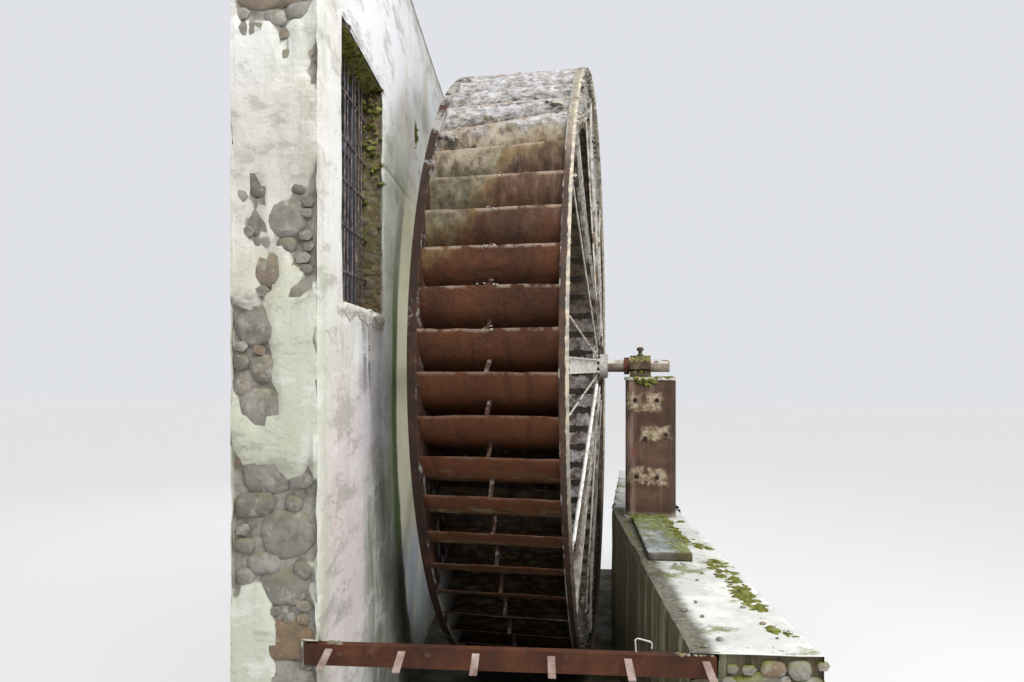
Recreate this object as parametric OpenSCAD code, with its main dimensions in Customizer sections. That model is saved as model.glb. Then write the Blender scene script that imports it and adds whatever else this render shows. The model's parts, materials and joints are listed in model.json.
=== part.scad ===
// Iron water wheel of a mill, hung in its race between the mill wall and an outer pier.
// X runs along the shaft towards the outer pier, Y runs away from the front of the race, Z is up.
// The origin lies on the underside of the race, below the middle of the wheel.
// All lengths are in millimetres and all angles in degrees.

/* [Wheel] */
// Radius over the bucket lips
wheel_r = 2800; // [2600:10:2900]
// Width over the two shroud plates
wheel_w = 980; // [900:10:1060]
// Radial depth of the bucket ring
ring_d = 450; // [400:10:500]
// Thickness of the shroud plates
shroud_t = 8; // [5:1:12]
// Number of plates that make up each shroud
shroud_n = 8; // [8:8:8]
// Open joint between two shroud plates
shroud_joint = 2; // [1:0.5:4]

/* [Buckets] */
// Number of buckets round the wheel
bucket_n = 60; // [48:4:64]
// Angle through which a bucket plate bends from its root to its lip
bucket_sweep = 70; // [60:1:75]
// Thickness of the bucket plates
bucket_t = 6; // [4:0.5:8]
// Angle of the first lip above the horizontal on the front side
bucket_phase = -0.9; // [-3:0.1:3]
// Thickness of the sole slats
sole_t = 6; // [4:0.5:8]
// Share of the pitch that a sole slat covers
sole_cover = 0.7; // [0.5:0.05:0.85]
// Width of the stay at the middle of each bucket
stay_w = 30; // [20:1:50]
// Thickness of the stay
stay_t = 8; // [5:1:12]
// Slope of the stay from the lip up to the next plate
stay_slope = 32; // [28:1:45]

/* [Rims] */
// Leg of the angle iron round the outer edge of each shroud
rim_leg = 60; // [40:5:70]
// Leg of the angle iron that carries the sole
sole_leg = 60; // [40:5:70]
// Thickness of both angle irons
angle_t = 7; // [5:1:10]
// Length of a joint plate round the rim
splice_l = 320; // [200:10:400]
// Radial height of a joint plate
splice_h = 130; // [80:10:180]
// Thickness of a joint plate
splice_t = 8; // [5:1:12]

/* [Arms] */
// Number of arms on each side
arm_n = 8; // [6:1:8]
// Width of an arm
arm_w = 120; // [80:5:130]
// Thickness of an arm's web
arm_t = 10; // [8:1:16]
// Depth of an arm's flanges, over the web
arm_flange = 42; // [30:1:45]
// Thickness of an arm's flanges
arm_flange_t = 9; // [6:1:12]
// Gap between the end of an arm and the rim angle
arm_end_gap = 30; // [10:5:60]
// Distance that each hub stands outside its shroud
dish = 100; // [60:5:110]
// Length of an arm beside its hub disc before it bends
arm_seat = 40; // [20:5:80]

/* [Hubs] */
// Radius of the hub discs
hub_r = 330; // [320:5:350]
// Thickness of the hub discs
hub_t = 28; // [20:1:40]
// Radius of the hub boss
boss_r = 120; // [100:5:140]
// Distance that the boss stands out of its disc
boss_out = 100; // [60:5:110]
// Length of the boss on the inner side of the disc
boss_in = 110; // [60:5:200]

/* [Tie rods] */
// Diameter of the tie rods
rod_d = 16; // [10:1:24]
// Diameter of the eyes at their ends
eye_d = 46; // [30:1:50]
// Angle of the outer eye beside its arm
rod_fan = 9; // [7:0.5:14]
// Thickness of an eye beyond each side of its rod
eye_over = 2; // [2:0.5:4]
// Margin between an eye and the edge or arm beside it
eye_edge = 4; // [2:1:6]

/* [Shaft] */
// Radius of the shaft in its bearings
journal_r = 60; // [50:1:70]
// Radius of the shaft between the hubs
shaft_r = 75; // [72:1:90]
// Radius of the drive end inside the mill
drive_r = 55; // [40:1:65]
// Length of the drive end
drive_l = 250; // [150:10:400]
// Length of journal that shows inside the mill
drive_step = 40; // [20:5:100]
// Length of shaft beyond the outer bearing
tail_l = 180; // [100:5:200]
// Radius of the shaft collars
collar_r = 84; // [75:1:100]
// Width of the shaft collars
collar_w = 50; // [30:1:60]

/* [Bearings] */
// Height of the shaft above the foot of a bearing
bearing_h = 110; // [95:1:140]
// Width of a bearing along the shaft
bearing_w = 200; // [150:5:210]
// Length of a bearing foot across the shaft
bearing_l = 380; // [320:10:460]
// Thickness of a bearing foot
foot_t = 34; // [20:1:45]
// Radius of the outside of a bearing
housing_r = 98; // [88:1:105]
// Thickness of the bolt ears of the cap
ear_t = 30; // [20:1:40]
// Length across the bolt ears
ear_l = 290; // [260:5:310]
// Distance of the outer bearing from the pier's face
bearing_inset = 39; // [20:1:60]

/* [Mill wall] */
// Angle between the wheel and the walls of the mill
skew = 7.5; // [5:0.5:9]
// Gap between the front of the wheel and the mill wall
wall_gap = 270; // [220:10:320]
// Thickness of the mill wall
wall_t = 500; // [400:10:700]
// Height of the wall top above the shaft
wall_up = 3430; // [3200:10:3600]
// Length of the wall in front of the shaft
wall_front = 3930; // [3700:10:4300]
// Length of the wall behind the shaft
wall_back = 3200; // [3000:50:4000]
// Width of the opening for the shaft
shaft_gap_w = 620; // [560:10:800]
// Height of the opening above the shaft
shaft_gap_up = 300; // [250:10:400]
// Height of the stone under the inner bearing
padstone_h = 160; // [100:10:250]

/* [Window] */
// Width of wall in front of the window
jamb_w = 550; // [450:10:650]
// Width of the window
window_w = 1260; // [1000:10:1400]
// Height of the window's bottom above the shaft
window_up = 345; // [250:5:450]
// Height of the window
window_h = 1750; // [1500:10:1900]
// Share of the window's height below the transom
transom_share = 0.68; // [0.5:0.02:0.8]
// Height of the lintel
lintel_h = 170; // [120:10:250]
// Thickness of the plaster in front of the lintel
plaster_t = 30; // [20:5:50]
// Length of wall that the lintel rests on at each end
lintel_rest = 150; // [100:10:200]
// Thickness of the sill
sill_t = 55; // [30:5:80]
// Depth of the reveal in front of the casement
reveal_d = 230; // [200:10:300]
// Width of the casement's wood
casement_w = 58; // [40:1:80]
// Thickness of the casement's wood
casement_t = 46; // [30:1:60]
// Thickness of the glass
pane_t = 4; // [3:1:6]

/* [Race] */
// Thickness of the race floor
race_t = 100; // [60:10:200]
// Gap between the wheel and the race floor
race_gap = 60; // [40:5:120]
// Gap between the wheel and the pit wall behind the shaft
pit_gap = 160; // [120:10:200]
// Distance behind the shaft where the pit wall turns along the wheel
pit_bend = 180; // [100:10:300]
// Thickness of the pit wall
pit_wall_t = 700; // [680:10:800]
// Depth of the ledge below the shaft
ledge_down = 1400; // [1300:10:1600]
// Distance of the ledge slab's far end from the edge of the pit
slab_set = 125; // [80:5:200]
// Angle that the slab lies askew, with its front end nearer to the pit
slab_turn = 2.3; // [0:0.1:2.6]
// Width of the ledge slab
slab_w = 330; // [250:10:400]
// Length of the ledge slab
slab_l = 1580; // [1000:10:2000]
// Gap between the ledge slab and the pier
slab_gap = 5; // [2:1:20]
// Thickness of the ledge slab
slab_t = 60; // [40:5:90]

/* [Race beam] */
// Height of the channel beam across the front of the race
beam_h = 110; // [90:5:140]
// Width of the beam's flanges
beam_w = 55; // [45:5:70]
// Thickness of the beam's web and flanges
beam_t = 7; // [5:1:10]
// Depth that the beam is let into the pit wall
beam_sink = 130; // [115:5:160]
// Length of the beam's end in the mill wall
beam_in = 80; // [50:5:120]
// Length of the beam's end on the pit wall
beam_out = 135; // [100:5:200]
// Number of straps on the beam
strap_n = 6; // [4:1:8]
// Width of a strap
strap_w = 38; // [30:2:60]
// Thickness of a strap
strap_t = 8; // [6:1:12]
// Distance that a strap reaches out of the beam
strap_run = 190; // [80:10:220]
// Drop of a strap along its length
strap_drop = 34; // [10:2:60]
// Depth of a strap's upper edge below the top of the beam
strap_set = 20; // [12:1:30]
// Distance of the outer straps from the beam's ends
strap_end = 35; // [30:5:60]

/* [Pier] */
// Distance of the pier from the pit behind the shaft
pier_set = 156; // [130:2:160]
// Width of the pier along the shaft
pier_w = 470; // [440:5:480]
// Depth of the pier across the shaft
pier_d = 500; // [420:10:600]
// Radius of the pier's rounded edges
pier_edge = 60; // [20:5:90]
// Thickness of the steel casing
casing_t = 8; // [5:1:12]
// Thickness of the plate on top
cap_t = 26; // [16:1:40]
// Thickness of the plate below
base_t = 20; // [12:1:30]
// Overhang of both plates
plate_over = 12; // [5:1:14]

/* [Fits] */
// Radial clearance of the shaft in its bearings
journal_gap = 0.05; // [0.02:0.01:0.1]
// Gap between curved pieces that seat on each other
seat_gap = 0.3; // [0.1:0.05:0.4]
// Mortar bed between a metal foot and the masonry under it
bed_gap = 0.1; // [0.05:0.05:0.3]

/* [Hidden] */
eps = 1;
fine_fn = 180;
round_fn = 64;

ring_r = wheel_r - ring_d;
half_w = wheel_w / 2;
inner_x = half_w - shroud_t;
pitch = 360 / bucket_n;

bend_r = ring_d / sin(bucket_sweep);
bend_u = wheel_r - bend_r * sin(bucket_sweep);
bend_v = bend_r * cos(bucket_sweep);
bucket_drop = bend_r - bend_v;
root_a = -atan2(bucket_drop, ring_r);

axle_z = race_t + race_gap + wheel_r;
ledge_z = axle_z - ledge_down;
wall_x = -(half_w + rim_leg + wall_gap) * cos(skew) - wheel_r * sin(skew);
wall_back_x = wall_x - wall_t;
wall_mid_x = wall_x - wall_t / 2;
wall_h = axle_z + wall_up;
shaft_gap_y = -wall_mid_x * tan(skew);
pit_x = half_w + rim_leg + pit_gap;
pit_front_x = (pit_x + pit_bend * sin(skew)) / cos(skew);
bearing_z = axle_z - bearing_h;

arm_root_r = max(boss_r + 10, arm_w / 2 / tan(180 / arm_n) + 10);
arm_tip_r = wheel_r - rim_leg - arm_end_gap;
arm_bend_in = hub_r + arm_seat;
arm_bend_out = ring_r - sole_leg;
hub_face_right = half_w + dish;
hub_face_left = -half_w - dish;
eye_root_r = hub_r - eye_d / 2 - eye_edge;
eye_tip_r = ring_r + eye_d / 2 + eye_edge;
rod_root = asin((arm_w / 2 + eye_d / 2 + eye_edge) / eye_root_r);
eye_t = rod_d + 2 * eye_over;

window_y = -wall_front + jamb_w;
window_z = axle_z + window_up;
casement_x = wall_x - reveal_d;
light_w = (window_w - 3 * casement_w) / 2;
transom_z = window_z + window_h * transom_share;

pier_x = pit_x + pier_set;
pier_y = -pier_d / 2;
cap_z = bearing_z - cap_t;
pit_top_z = ledge_z - slab_t;
pier_z = pit_top_z + bed_gap;
outer_bearing_x = pier_x + bearing_inset;
inner_bearing_x = wall_mid_x / cos(skew) - bearing_w / 2;
beam_x = wall_x - beam_in;
beam_l = pit_front_x + beam_out - beam_x;
beam_z = pit_top_z - beam_sink;
slab_x = pit_front_x + slab_set;
slab_y = -(pier_x + pier_w + plate_over) * sin(skew) - (pier_d / 2 + plate_over) * cos(skew) - slab_gap;

// Lifts the wheel's pieces from the origin to the shaft
module on_axle() {
    translate([0, 0, axle_z]) children();
}

// Turns the pieces of the building into their place beside the wheel
module in_building() {
    rotate([0, 0, skew]) children();
}

// Extrudes a wheel-plane profile between two places along the shaft
// In the profile, x points to the front of the race and y points up
module across(x0, x1) {
    translate([x1, 0, 0]) rotate([90, 0, -90]) linear_extrude(x1 - x0) children();
}

// Turns a wheel-plane piece about the shaft, positive from the front upwards
module turned(a) {
    rotate([-a, 0, 0]) children();
}

// Box from one corner to another
module span(lo, hi) {
    translate(lo) cube(hi - lo);
}

// Flat sector of a ring
module ring_sector(r0, r1, a0, a1) {
    reach = r1 * 1.3;
    intersection() {
        difference() {
            circle(r = r1, $fn = fine_fn);
            circle(r = r0, $fn = fine_fn);
        }
        polygon([[0, 0], [reach * cos(a0), reach * sin(a0)], [reach * cos(a1), reach * sin(a1)]]);
    }
}

// Rectangle with round corners, from the origin
module round_rect(w, d, r) {
    translate([r, 0]) square([w - 2 * r, d]);
    translate([0, r]) square([w, d - 2 * r]);
    for (x = [r, w - r], y = [r, d - r]) translate([x, y]) circle(r = r, $fn = round_fn);
}

// Section of a bucket plate, from its root on the sole to its lip
module bucket_profile() {
    intersection() {
        translate([bend_u, bend_v]) difference() {
            circle(r = bend_r, $fn = fine_fn);
            circle(r = bend_r - bucket_t, $fn = fine_fn);
        }
        difference() {
            circle(r = wheel_r, $fn = fine_fn * 2);
            circle(r = ring_r + seat_gap, $fn = fine_fn * 2);
        }
        translate([ring_r - ring_d, -bucket_drop * 1.5]) square([ring_d * 2.5, bucket_drop * 1.5 + eps]);
    }
}

// A run of buckets between the shrouds
module bucket_run(first, last) {
    color([0.33, 0.2, 0.14]) on_axle() across(-inner_x, inner_x)
        for (i = [first:last]) rotate(i * pitch + bucket_phase) bucket_profile();
}

quarter = bucket_n / 4;
module buckets_front() {
    bucket_run(-floor(quarter / 2), -floor(quarter / 2) + quarter - 1);
}
module buckets_top() {
    bucket_run(-floor(quarter / 2) + quarter, -floor(quarter / 2) + 2 * quarter - 1);
}
module buckets_back() {
    bucket_run(-floor(quarter / 2) + 2 * quarter, -floor(quarter / 2) + 3 * quarter - 1);
}
module buckets_bottom() {
    bucket_run(-floor(quarter / 2) + 3 * quarter, -floor(quarter / 2) + 4 * quarter - 1);
}

// Slats of the sole, with an air slot between neighbours
module sole_slats() {
    color([0.6, 0.58, 0.5]) on_axle() across(-inner_x, inner_x)
        for (i = [0:bucket_n - 1]) rotate(i * pitch + bucket_phase + root_a)
            ring_sector(ring_r - sole_t, ring_r, -pitch * 0.1, pitch * (sole_cover - 0.1));
}

// Flat stay from each lip up to the plate above it
module bucket_stays() {
    color([0.62, 0.6, 0.54]) on_axle() across(-stay_w / 2, stay_w / 2)
        for (i = [0:bucket_n - 1]) rotate(i * pitch + bucket_phase) difference() {
            intersection() {
                translate([wheel_r, -stay_t]) rotate(180 - stay_slope)
                    translate([-ring_d / 2, -stay_t]) square([ring_d, stay_t]);
                translate([bend_u, bend_v]) circle(r = bend_r - bucket_t - seat_gap, $fn = fine_fn);
            }
            rotate(pitch) translate([bend_u, bend_v]) circle(r = bend_r + seat_gap, $fn = fine_fn);
        }
}

// Shroud made of plates that meet half-way between the arms
module shroud(x0) {
    joint_a = shroud_joint / wheel_r * 90 / PI;
    color([0.55, 0.5, 0.42]) on_axle() across(x0, x0 + shroud_t)
        for (i = [0:shroud_n - 1]) rotate((i - 0.5) * 360 / shroud_n)
            ring_sector(ring_r - sole_t - seat_gap, wheel_r, joint_a, 360 / shroud_n - joint_a);
}

module right_shroud() {
    shroud(inner_x);
}
module left_shroud() {
    shroud(-half_w);
}

// Ring of angle iron about the shaft, in as many lengths as the shroud
module angle_ring(profile) {
    gap_a = shroud_joint / wheel_r * 180 / PI;
    color([0.6, 0.56, 0.48]) on_axle() for (i = [0:shroud_n - 1])
        turned((i - 0.5) * 360 / shroud_n) rotate([0, 90, 0])
            rotate_extrude(angle = 360 / shroud_n - gap_a, $fn = fine_fn) polygon(profile);
}

function rim_profile(x, side) = [[wheel_r, x], [wheel_r, x + side * rim_leg],
    [wheel_r - angle_t, x + side * rim_leg], [wheel_r - angle_t, x + side * angle_t],
    [wheel_r - rim_leg, x + side * angle_t], [wheel_r - rim_leg, x]];

sole_ring_r = ring_r - sole_t - seat_gap;
function sole_profile(x, side) = [[sole_ring_r, x], [sole_ring_r, x + side * sole_leg],
    [sole_ring_r - angle_t, x + side * sole_leg], [sole_ring_r - angle_t, x + side * angle_t],
    [sole_ring_r - sole_leg, x + side * angle_t], [sole_ring_r - sole_leg, x]];

module right_rim_angle() {
    angle_ring(rim_profile(half_w, 1));
}
module left_rim_angle() {
    angle_ring(rim_profile(-half_w, -1));
}
module right_sole_ring() {
    angle_ring(sole_profile(half_w, -1));
}
module left_sole_ring() {
    angle_ring(sole_profile(-half_w, 1));
}

// Plates that bridge the joints of a shroud
module joint_plates(x0) {
    plate_r = wheel_r - rim_leg - splice_h / 2 - 10;
    color([0.5, 0.42, 0.34]) on_axle() for (i = [0:shroud_n - 1])
        turned((i + 0.5) * 360 / shroud_n) translate([x0, -plate_r - splice_h / 2, -splice_l / 2])
            cube([splice_t, splice_h, splice_l]);
}

module right_joint_plates() {
    joint_plates(half_w);
}
module left_joint_plates() {
    joint_plates(-half_w - splice_t);
}

// Side outline of an arm of the given depth, dished between hub and rim
// In it, x is the distance from the shaft and y the distance outside the shroud
function arm_outline(r0, r1, lift, depth) = [[r0, lift], [arm_bend_in, lift], [arm_bend_out, 0], [r1, 0],
    [r1, depth], [arm_bend_out, depth], [arm_bend_in, lift + depth], [r0, lift + depth]];

module right_arms() {
    color([0.68, 0.65, 0.57]) on_axle() for (i = [0:arm_n - 1])
        turned(i * 360 / arm_n) channel_arm(half_w, 1, dish);
}
module left_arms() {
    color([0.68, 0.65, 0.57]) on_axle() for (i = [0:arm_n - 1])
        turned(i * 360 / arm_n) channel_arm(-half_w, -1, dish);
}

// One arm pointing to the front, on the face at x0, standing out towards side
module channel_arm(x0, side, lift) {
    translate([x0, 0, 0]) arm_slice(side, -arm_w / 2, arm_w, arm_root_r, arm_tip_r, lift, arm_t);
    for (z = [-arm_w / 2, arm_w / 2 - arm_flange_t])
        translate([x0, 0, 0])
            arm_slice(side, z, arm_flange_t, hub_r + 10, arm_tip_r - arm_w / 2, lift, arm_flange);
}

// Slice of an arm between two heights, with the outline in the X-Y plane
module arm_slice(side, z, thick, r0, r1, lift, depth) {
    translate([0, 0, z]) linear_extrude(thick)
        polygon([for (p = arm_outline(r0, r1, lift, depth)) [side * p[1], -p[0]]]);
}

// Hub with a disc for the arms and a boss on the shaft
module hub(face, side) {
    color([0.4, 0.33, 0.27]) on_axle() translate([face, 0, 0]) rotate([0, side * 90, 0]) difference() {
        union() {
            translate([0, 0, -hub_t]) cylinder(r = hub_r, h = hub_t, $fn = round_fn * 2);
            translate([0, 0, -boss_in]) cylinder(r = boss_r, h = boss_in + boss_out, $fn = round_fn);
        }
        translate([0, 0, -boss_in - eps])
            cylinder(r = shaft_r + seat_gap, h = boss_in + boss_out + 2 * eps, $fn = round_fn);
    }
}

module right_hub() {
    hub(hub_face_right, 1);
}
module left_hub() {
    hub(hub_face_left, -1);
}

// Rod with an eye at each end, from the hub disc to the shroud
module tie_rod(face, tip_face, side, root_angle, tip_angle) {
    x0 = face + side * eye_t / 2;
    x1 = tip_face + side * eye_t / 2;
    p = [x0, -eye_root_r * cos(root_angle), eye_root_r * sin(root_angle)];
    q = [x1, -eye_tip_r * cos(tip_angle), eye_tip_r * sin(tip_angle)];
    v = q - p;
    len = norm(v);
    translate(p) rotate([0, acos(v[2] / len), atan2(v[1], v[0])]) cylinder(d = rod_d, h = len, $fn = 24);
    for (c = [p, q]) translate(c - [eye_t / 2, 0, 0]) rotate([0, 90, 0]) cylinder(d = eye_d, h = eye_t, $fn = 32);
}

module tie_rods(face, tip_face, side) {
    color([0.66, 0.63, 0.56]) on_axle() for (i = [0:arm_n - 1], s = [-1, 1])
        turned(i * 360 / arm_n) tie_rod(face, tip_face, side, s * rod_root, s * rod_fan);
}

module right_tie_rods() {
    tie_rods(hub_face_right, half_w, 1);
}
module left_tie_rods() {
    tie_rods(hub_face_left, -half_w, -1);
}

// Shaft with journals, drive end and a thicker middle
module shaft() {
    left_end = wall_back_x / cos(skew) - drive_step;
    right_end = outer_bearing_x + bearing_w + tail_l;
    mid_left = hub_face_left - boss_out;
    mid_right = hub_face_right + boss_out;
    color([0.42, 0.3, 0.24]) on_axle() rotate([0, 90, 0]) {
        translate([0, 0, mid_left]) cylinder(r = shaft_r, h = mid_right - mid_left, $fn = round_fn);
        translate([0, 0, left_end]) cylinder(r = journal_r, h = right_end - left_end, $fn = round_fn);
        translate([0, 0, left_end - drive_l]) cylinder(r = drive_r, h = drive_l + eps, $fn = round_fn);
    }
}

// Collars that keep the shaft from moving endways
module shaft_collars() {
    gap = 6;
    color([0.5, 0.22, 0.14]) on_axle() rotate([0, 90, 0])
        for (x = [outer_bearing_x - gap - collar_w, inner_bearing_x + bearing_w + gap])
            translate([0, 0, x]) difference() {
                cylinder(r = collar_r, h = collar_w, $fn = round_fn);
                translate([0, 0, -eps]) cylinder(r = journal_r + seat_gap, h = collar_w + 2 * eps, $fn = round_fn);
            }
}

// Lower half of a bearing, up to the middle of the shaft
module bearing_base(x0) {
    color([0.36, 0.3, 0.26]) on_axle() difference() {
        union() {
            span([x0, -bearing_l / 2, -bearing_h], [x0 + bearing_w, bearing_l / 2, foot_t - bearing_h]);
            span([x0, -housing_r, -bearing_h], [x0 + bearing_w, housing_r, 0]);
            span([x0, -ear_l / 2, -ear_t], [x0 + bearing_w, ear_l / 2, 0]);
        }
        journal_bore(x0);
    }
}

// Upper half of a bearing, with a rounded back and bolt ears
module bearing_cap(x0) {
    color([0.4, 0.34, 0.3]) on_axle() difference() {
        union() {
            intersection() {
                translate([x0, 0, 0]) rotate([0, 90, 0]) cylinder(r = housing_r, h = bearing_w, $fn = round_fn);
                span([x0 - eps, -housing_r - eps, 0], [x0 + bearing_w + eps, housing_r + eps, housing_r + eps]);
            }
            span([x0, -ear_l / 2, 0], [x0 + bearing_w, ear_l / 2, ear_t]);
        }
        journal_bore(x0);
    }
}

module journal_bore(x0) {
    translate([x0 - eps, 0, 0]) rotate([0, 90, 0])
        cylinder(r = journal_r + journal_gap, h = bearing_w + 2 * eps, $fn = round_fn);
}

module inner_bearing_base() {
    bearing_base(inner_bearing_x);
}
module inner_bearing_cap() {
    bearing_cap(inner_bearing_x);
}
module outer_bearing_base() {
    bearing_base(outer_bearing_x);
}
module outer_bearing_cap() {
    bearing_cap(outer_bearing_x);
}

// Stone under the inner bearing, in the opening for the shaft
module padstone() {
    y0 = shaft_gap_y - shaft_gap_w / 2;
    color([0.6, 0.58, 0.53]) in_building()
        span([wall_back_x, y0, bearing_z - padstone_h], [wall_x, y0 + shaft_gap_w, bearing_z - bed_gap]);
}

// Masonry wall of the mill, with the window and the shaft opening cut through
module mill_wall() {
    y0 = shaft_gap_y - shaft_gap_w / 2;
    color([0.83, 0.82, 0.76]) in_building() difference() {
        span([wall_back_x, -wall_front, 0], [wall_x, wall_back, wall_h]);
        span([wall_back_x - eps, y0, bearing_z - padstone_h],
            [wall_x + eps, y0 + shaft_gap_w, axle_z + shaft_gap_up]);
        span([wall_back_x - eps, window_y, window_z],
            [wall_x + eps, window_y + window_w, window_z + window_h]);
        lintel_block(eps);
        beam_pocket();
    }
}

module lintel_block(over) {
    span([wall_back_x - over, window_y - lintel_rest, window_z + window_h],
        [wall_x - plaster_t, window_y + window_w + lintel_rest, window_z + window_h + lintel_h]);
}

module window_lintel() {
    color([0.5, 0.5, 0.4]) in_building() lintel_block(0);
}

// Sill that slopes down towards the race
module window_sill() {
    color([0.78, 0.76, 0.7]) in_building() translate([0, window_y + window_w, window_z])
        rotate([90, 0, 0]) linear_extrude(window_w)
            polygon([[casement_x, 0], [wall_x, 0], [wall_x, sill_t * 0.6], [casement_x, sill_t]]);
}

// The four lights of the window, two below the transom and two above
module window_lights(x0, x1) {
    rows = [[window_z + casement_w, transom_z],
        [transom_z + casement_w, window_z + window_h - casement_w]];
    for (i = [0, 1], row = rows) {
        y0 = window_y + casement_w + i * (light_w + casement_w);
        span([x0, y0, row[0]], [x1, y0 + light_w, row[1]]);
    }
}

// Wooden casement with a mullion and a transom
module window_casement() {
    back_x = casement_x - casement_t;
    color([0.33, 0.36, 0.38]) in_building() difference() {
        span([back_x, window_y, window_z], [casement_x, window_y + window_w, window_z + window_h]);
        window_lights(back_x - eps, casement_x + eps);
    }
}

module window_panes() {
    pane_x = casement_x - (casement_t + pane_t) / 2;
    color([0.2, 0.26, 0.34]) in_building() window_lights(pane_x, pane_x + pane_t);
}

// Line along the pit, from the front of the race to its back, moved outwards
function pit_line(out) = [[pit_front_x + out, -wall_front], [pit_front_x + out, pit_bend],
    [pit_front_x + out + (wall_back - pit_bend) * tan(skew), wall_back]];

// Floor of the race, between the two walls
module race_floor() {
    color([0.4, 0.42, 0.36]) in_building() linear_extrude(race_t)
        polygon(concat([[wall_x, wall_back], [wall_x, -wall_front]], pit_line(0)));
}

// Wall on the outer side of the race, which turns along the wheel behind the shaft
module pit_wall() {
    outer = pit_line(pit_wall_t);
    color([0.35, 0.38, 0.3]) in_building() difference() {
        linear_extrude(pit_top_z) polygon(concat(pit_line(0), [outer[2], outer[1], outer[0]]));
        beam_pocket();
    }
}

// Room that the beam takes in the walls at its ends
module beam_pocket() {
    span([beam_x, -wall_front - eps, beam_z], [beam_x + beam_l, -wall_front + beam_w, beam_z + beam_h]);
}

// Channel across the front of the race, with its web towards the front
module race_beam() {
    color([0.4, 0.22, 0.16]) in_building() translate([beam_x, -wall_front, beam_z])
        rotate([90, 0, 90]) linear_extrude(beam_l) difference() {
            square([beam_w, beam_h]);
            translate([beam_t, beam_t]) square([beam_w, beam_h - 2 * beam_t]);
        }
}

// Straps that stand out of the beam to the front and droop
module beam_straps() {
    high = beam_h - strap_set;
    profile = [[0, high], [0, high - strap_t], [-strap_run, high - strap_t - strap_drop],
        [-strap_run, high - strap_drop]];
    first_x = wall_x + strap_end;
    step = (beam_x + beam_l - strap_end - strap_w - first_x) / (strap_n - 1);
    color([0.62, 0.5, 0.45]) in_building() for (i = [0:strap_n - 1])
        translate([first_x + i * step, -wall_front, beam_z])
            rotate([90, 0, 90]) linear_extrude(strap_w) polygon(profile);
}

module ledge_slab() {
    color([0.6, 0.62, 0.5]) in_building() translate([slab_x, slab_y, pit_top_z]) rotate([0, 0, -slab_turn])
        span([0, -slab_l, 0], [slab_w, 0, slab_t]);
}

// Plate under or over the pier
module pier_plate(z, t) {
    color([0.6, 0.58, 0.52]) translate([pier_x - plate_over, pier_y - plate_over, z])
        linear_extrude(t) round_rect(pier_w + 2 * plate_over, pier_d + 2 * plate_over, pier_edge);
}

module pier_base_plate() {
    pier_plate(pier_z, base_t);
}
module pier_cap_plate() {
    pier_plate(cap_z, cap_t);
}

module pier_casing() {
    color([0.38, 0.27, 0.2]) translate([pier_x, pier_y, pier_z + base_t])
        linear_extrude(cap_z - pier_z - base_t) difference() {
            round_rect(pier_w, pier_d, pier_edge);
            translate([casing_t, casing_t])
                round_rect(pier_w - 2 * casing_t, pier_d - 2 * casing_t, pier_edge - casing_t);
        }
}

module pier_core() {
    inset = casing_t + seat_gap;
    color([0.55, 0.52, 0.48]) translate([pier_x + inset, pier_y + inset, pier_z + base_t])
        linear_extrude(cap_z - pier_z - base_t)
            round_rect(pier_w - 2 * inset, pier_d - 2 * inset, pier_edge - casing_t);
}

race_floor();
pit_wall();
race_beam();
beam_straps();
ledge_slab();
mill_wall();
window_lintel();
window_sill();
window_casement();
window_panes();
padstone();
inner_bearing_base();
inner_bearing_cap();
pier_base_plate();
pier_core();
pier_casing();
pier_cap_plate();
outer_bearing_base();
outer_bearing_cap();
shaft();
shaft_collars();
right_hub();
left_hub();
right_arms();
left_arms();
right_shroud();
left_shroud();
right_rim_angle();
left_rim_angle();
right_sole_ring();
left_sole_ring();
right_joint_plates();
left_joint_plates();
buckets_front();
buckets_top();
buckets_back();
buckets_bottom();
sole_slats();
bucket_stays();
right_tie_rods();
left_tie_rods();
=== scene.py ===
# Looks of the mill's water wheel, its race and its wall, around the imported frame
# Lengths are in metres; X runs along the shaft, Y away from the front and Z up
import json
import math
import random
from functools import cached_property, reduce

import bmesh
import bpy
from mathutils import Matrix, Vector, noise


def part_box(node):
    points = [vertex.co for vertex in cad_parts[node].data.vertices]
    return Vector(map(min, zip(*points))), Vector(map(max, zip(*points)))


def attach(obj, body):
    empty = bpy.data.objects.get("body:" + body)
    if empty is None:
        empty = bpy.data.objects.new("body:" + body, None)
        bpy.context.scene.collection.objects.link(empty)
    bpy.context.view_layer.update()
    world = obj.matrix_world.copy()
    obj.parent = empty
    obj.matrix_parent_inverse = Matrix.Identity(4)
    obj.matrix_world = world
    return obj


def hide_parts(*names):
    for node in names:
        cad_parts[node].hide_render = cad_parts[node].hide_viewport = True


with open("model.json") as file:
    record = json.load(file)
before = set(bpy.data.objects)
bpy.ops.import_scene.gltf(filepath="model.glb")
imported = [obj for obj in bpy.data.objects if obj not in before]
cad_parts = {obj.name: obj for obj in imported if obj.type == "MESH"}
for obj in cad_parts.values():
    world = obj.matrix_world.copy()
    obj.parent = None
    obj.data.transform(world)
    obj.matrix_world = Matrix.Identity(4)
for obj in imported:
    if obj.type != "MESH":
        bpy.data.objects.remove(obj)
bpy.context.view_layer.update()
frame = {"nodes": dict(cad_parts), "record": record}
cad = frame["nodes"]
noise.seed_set(5)

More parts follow.
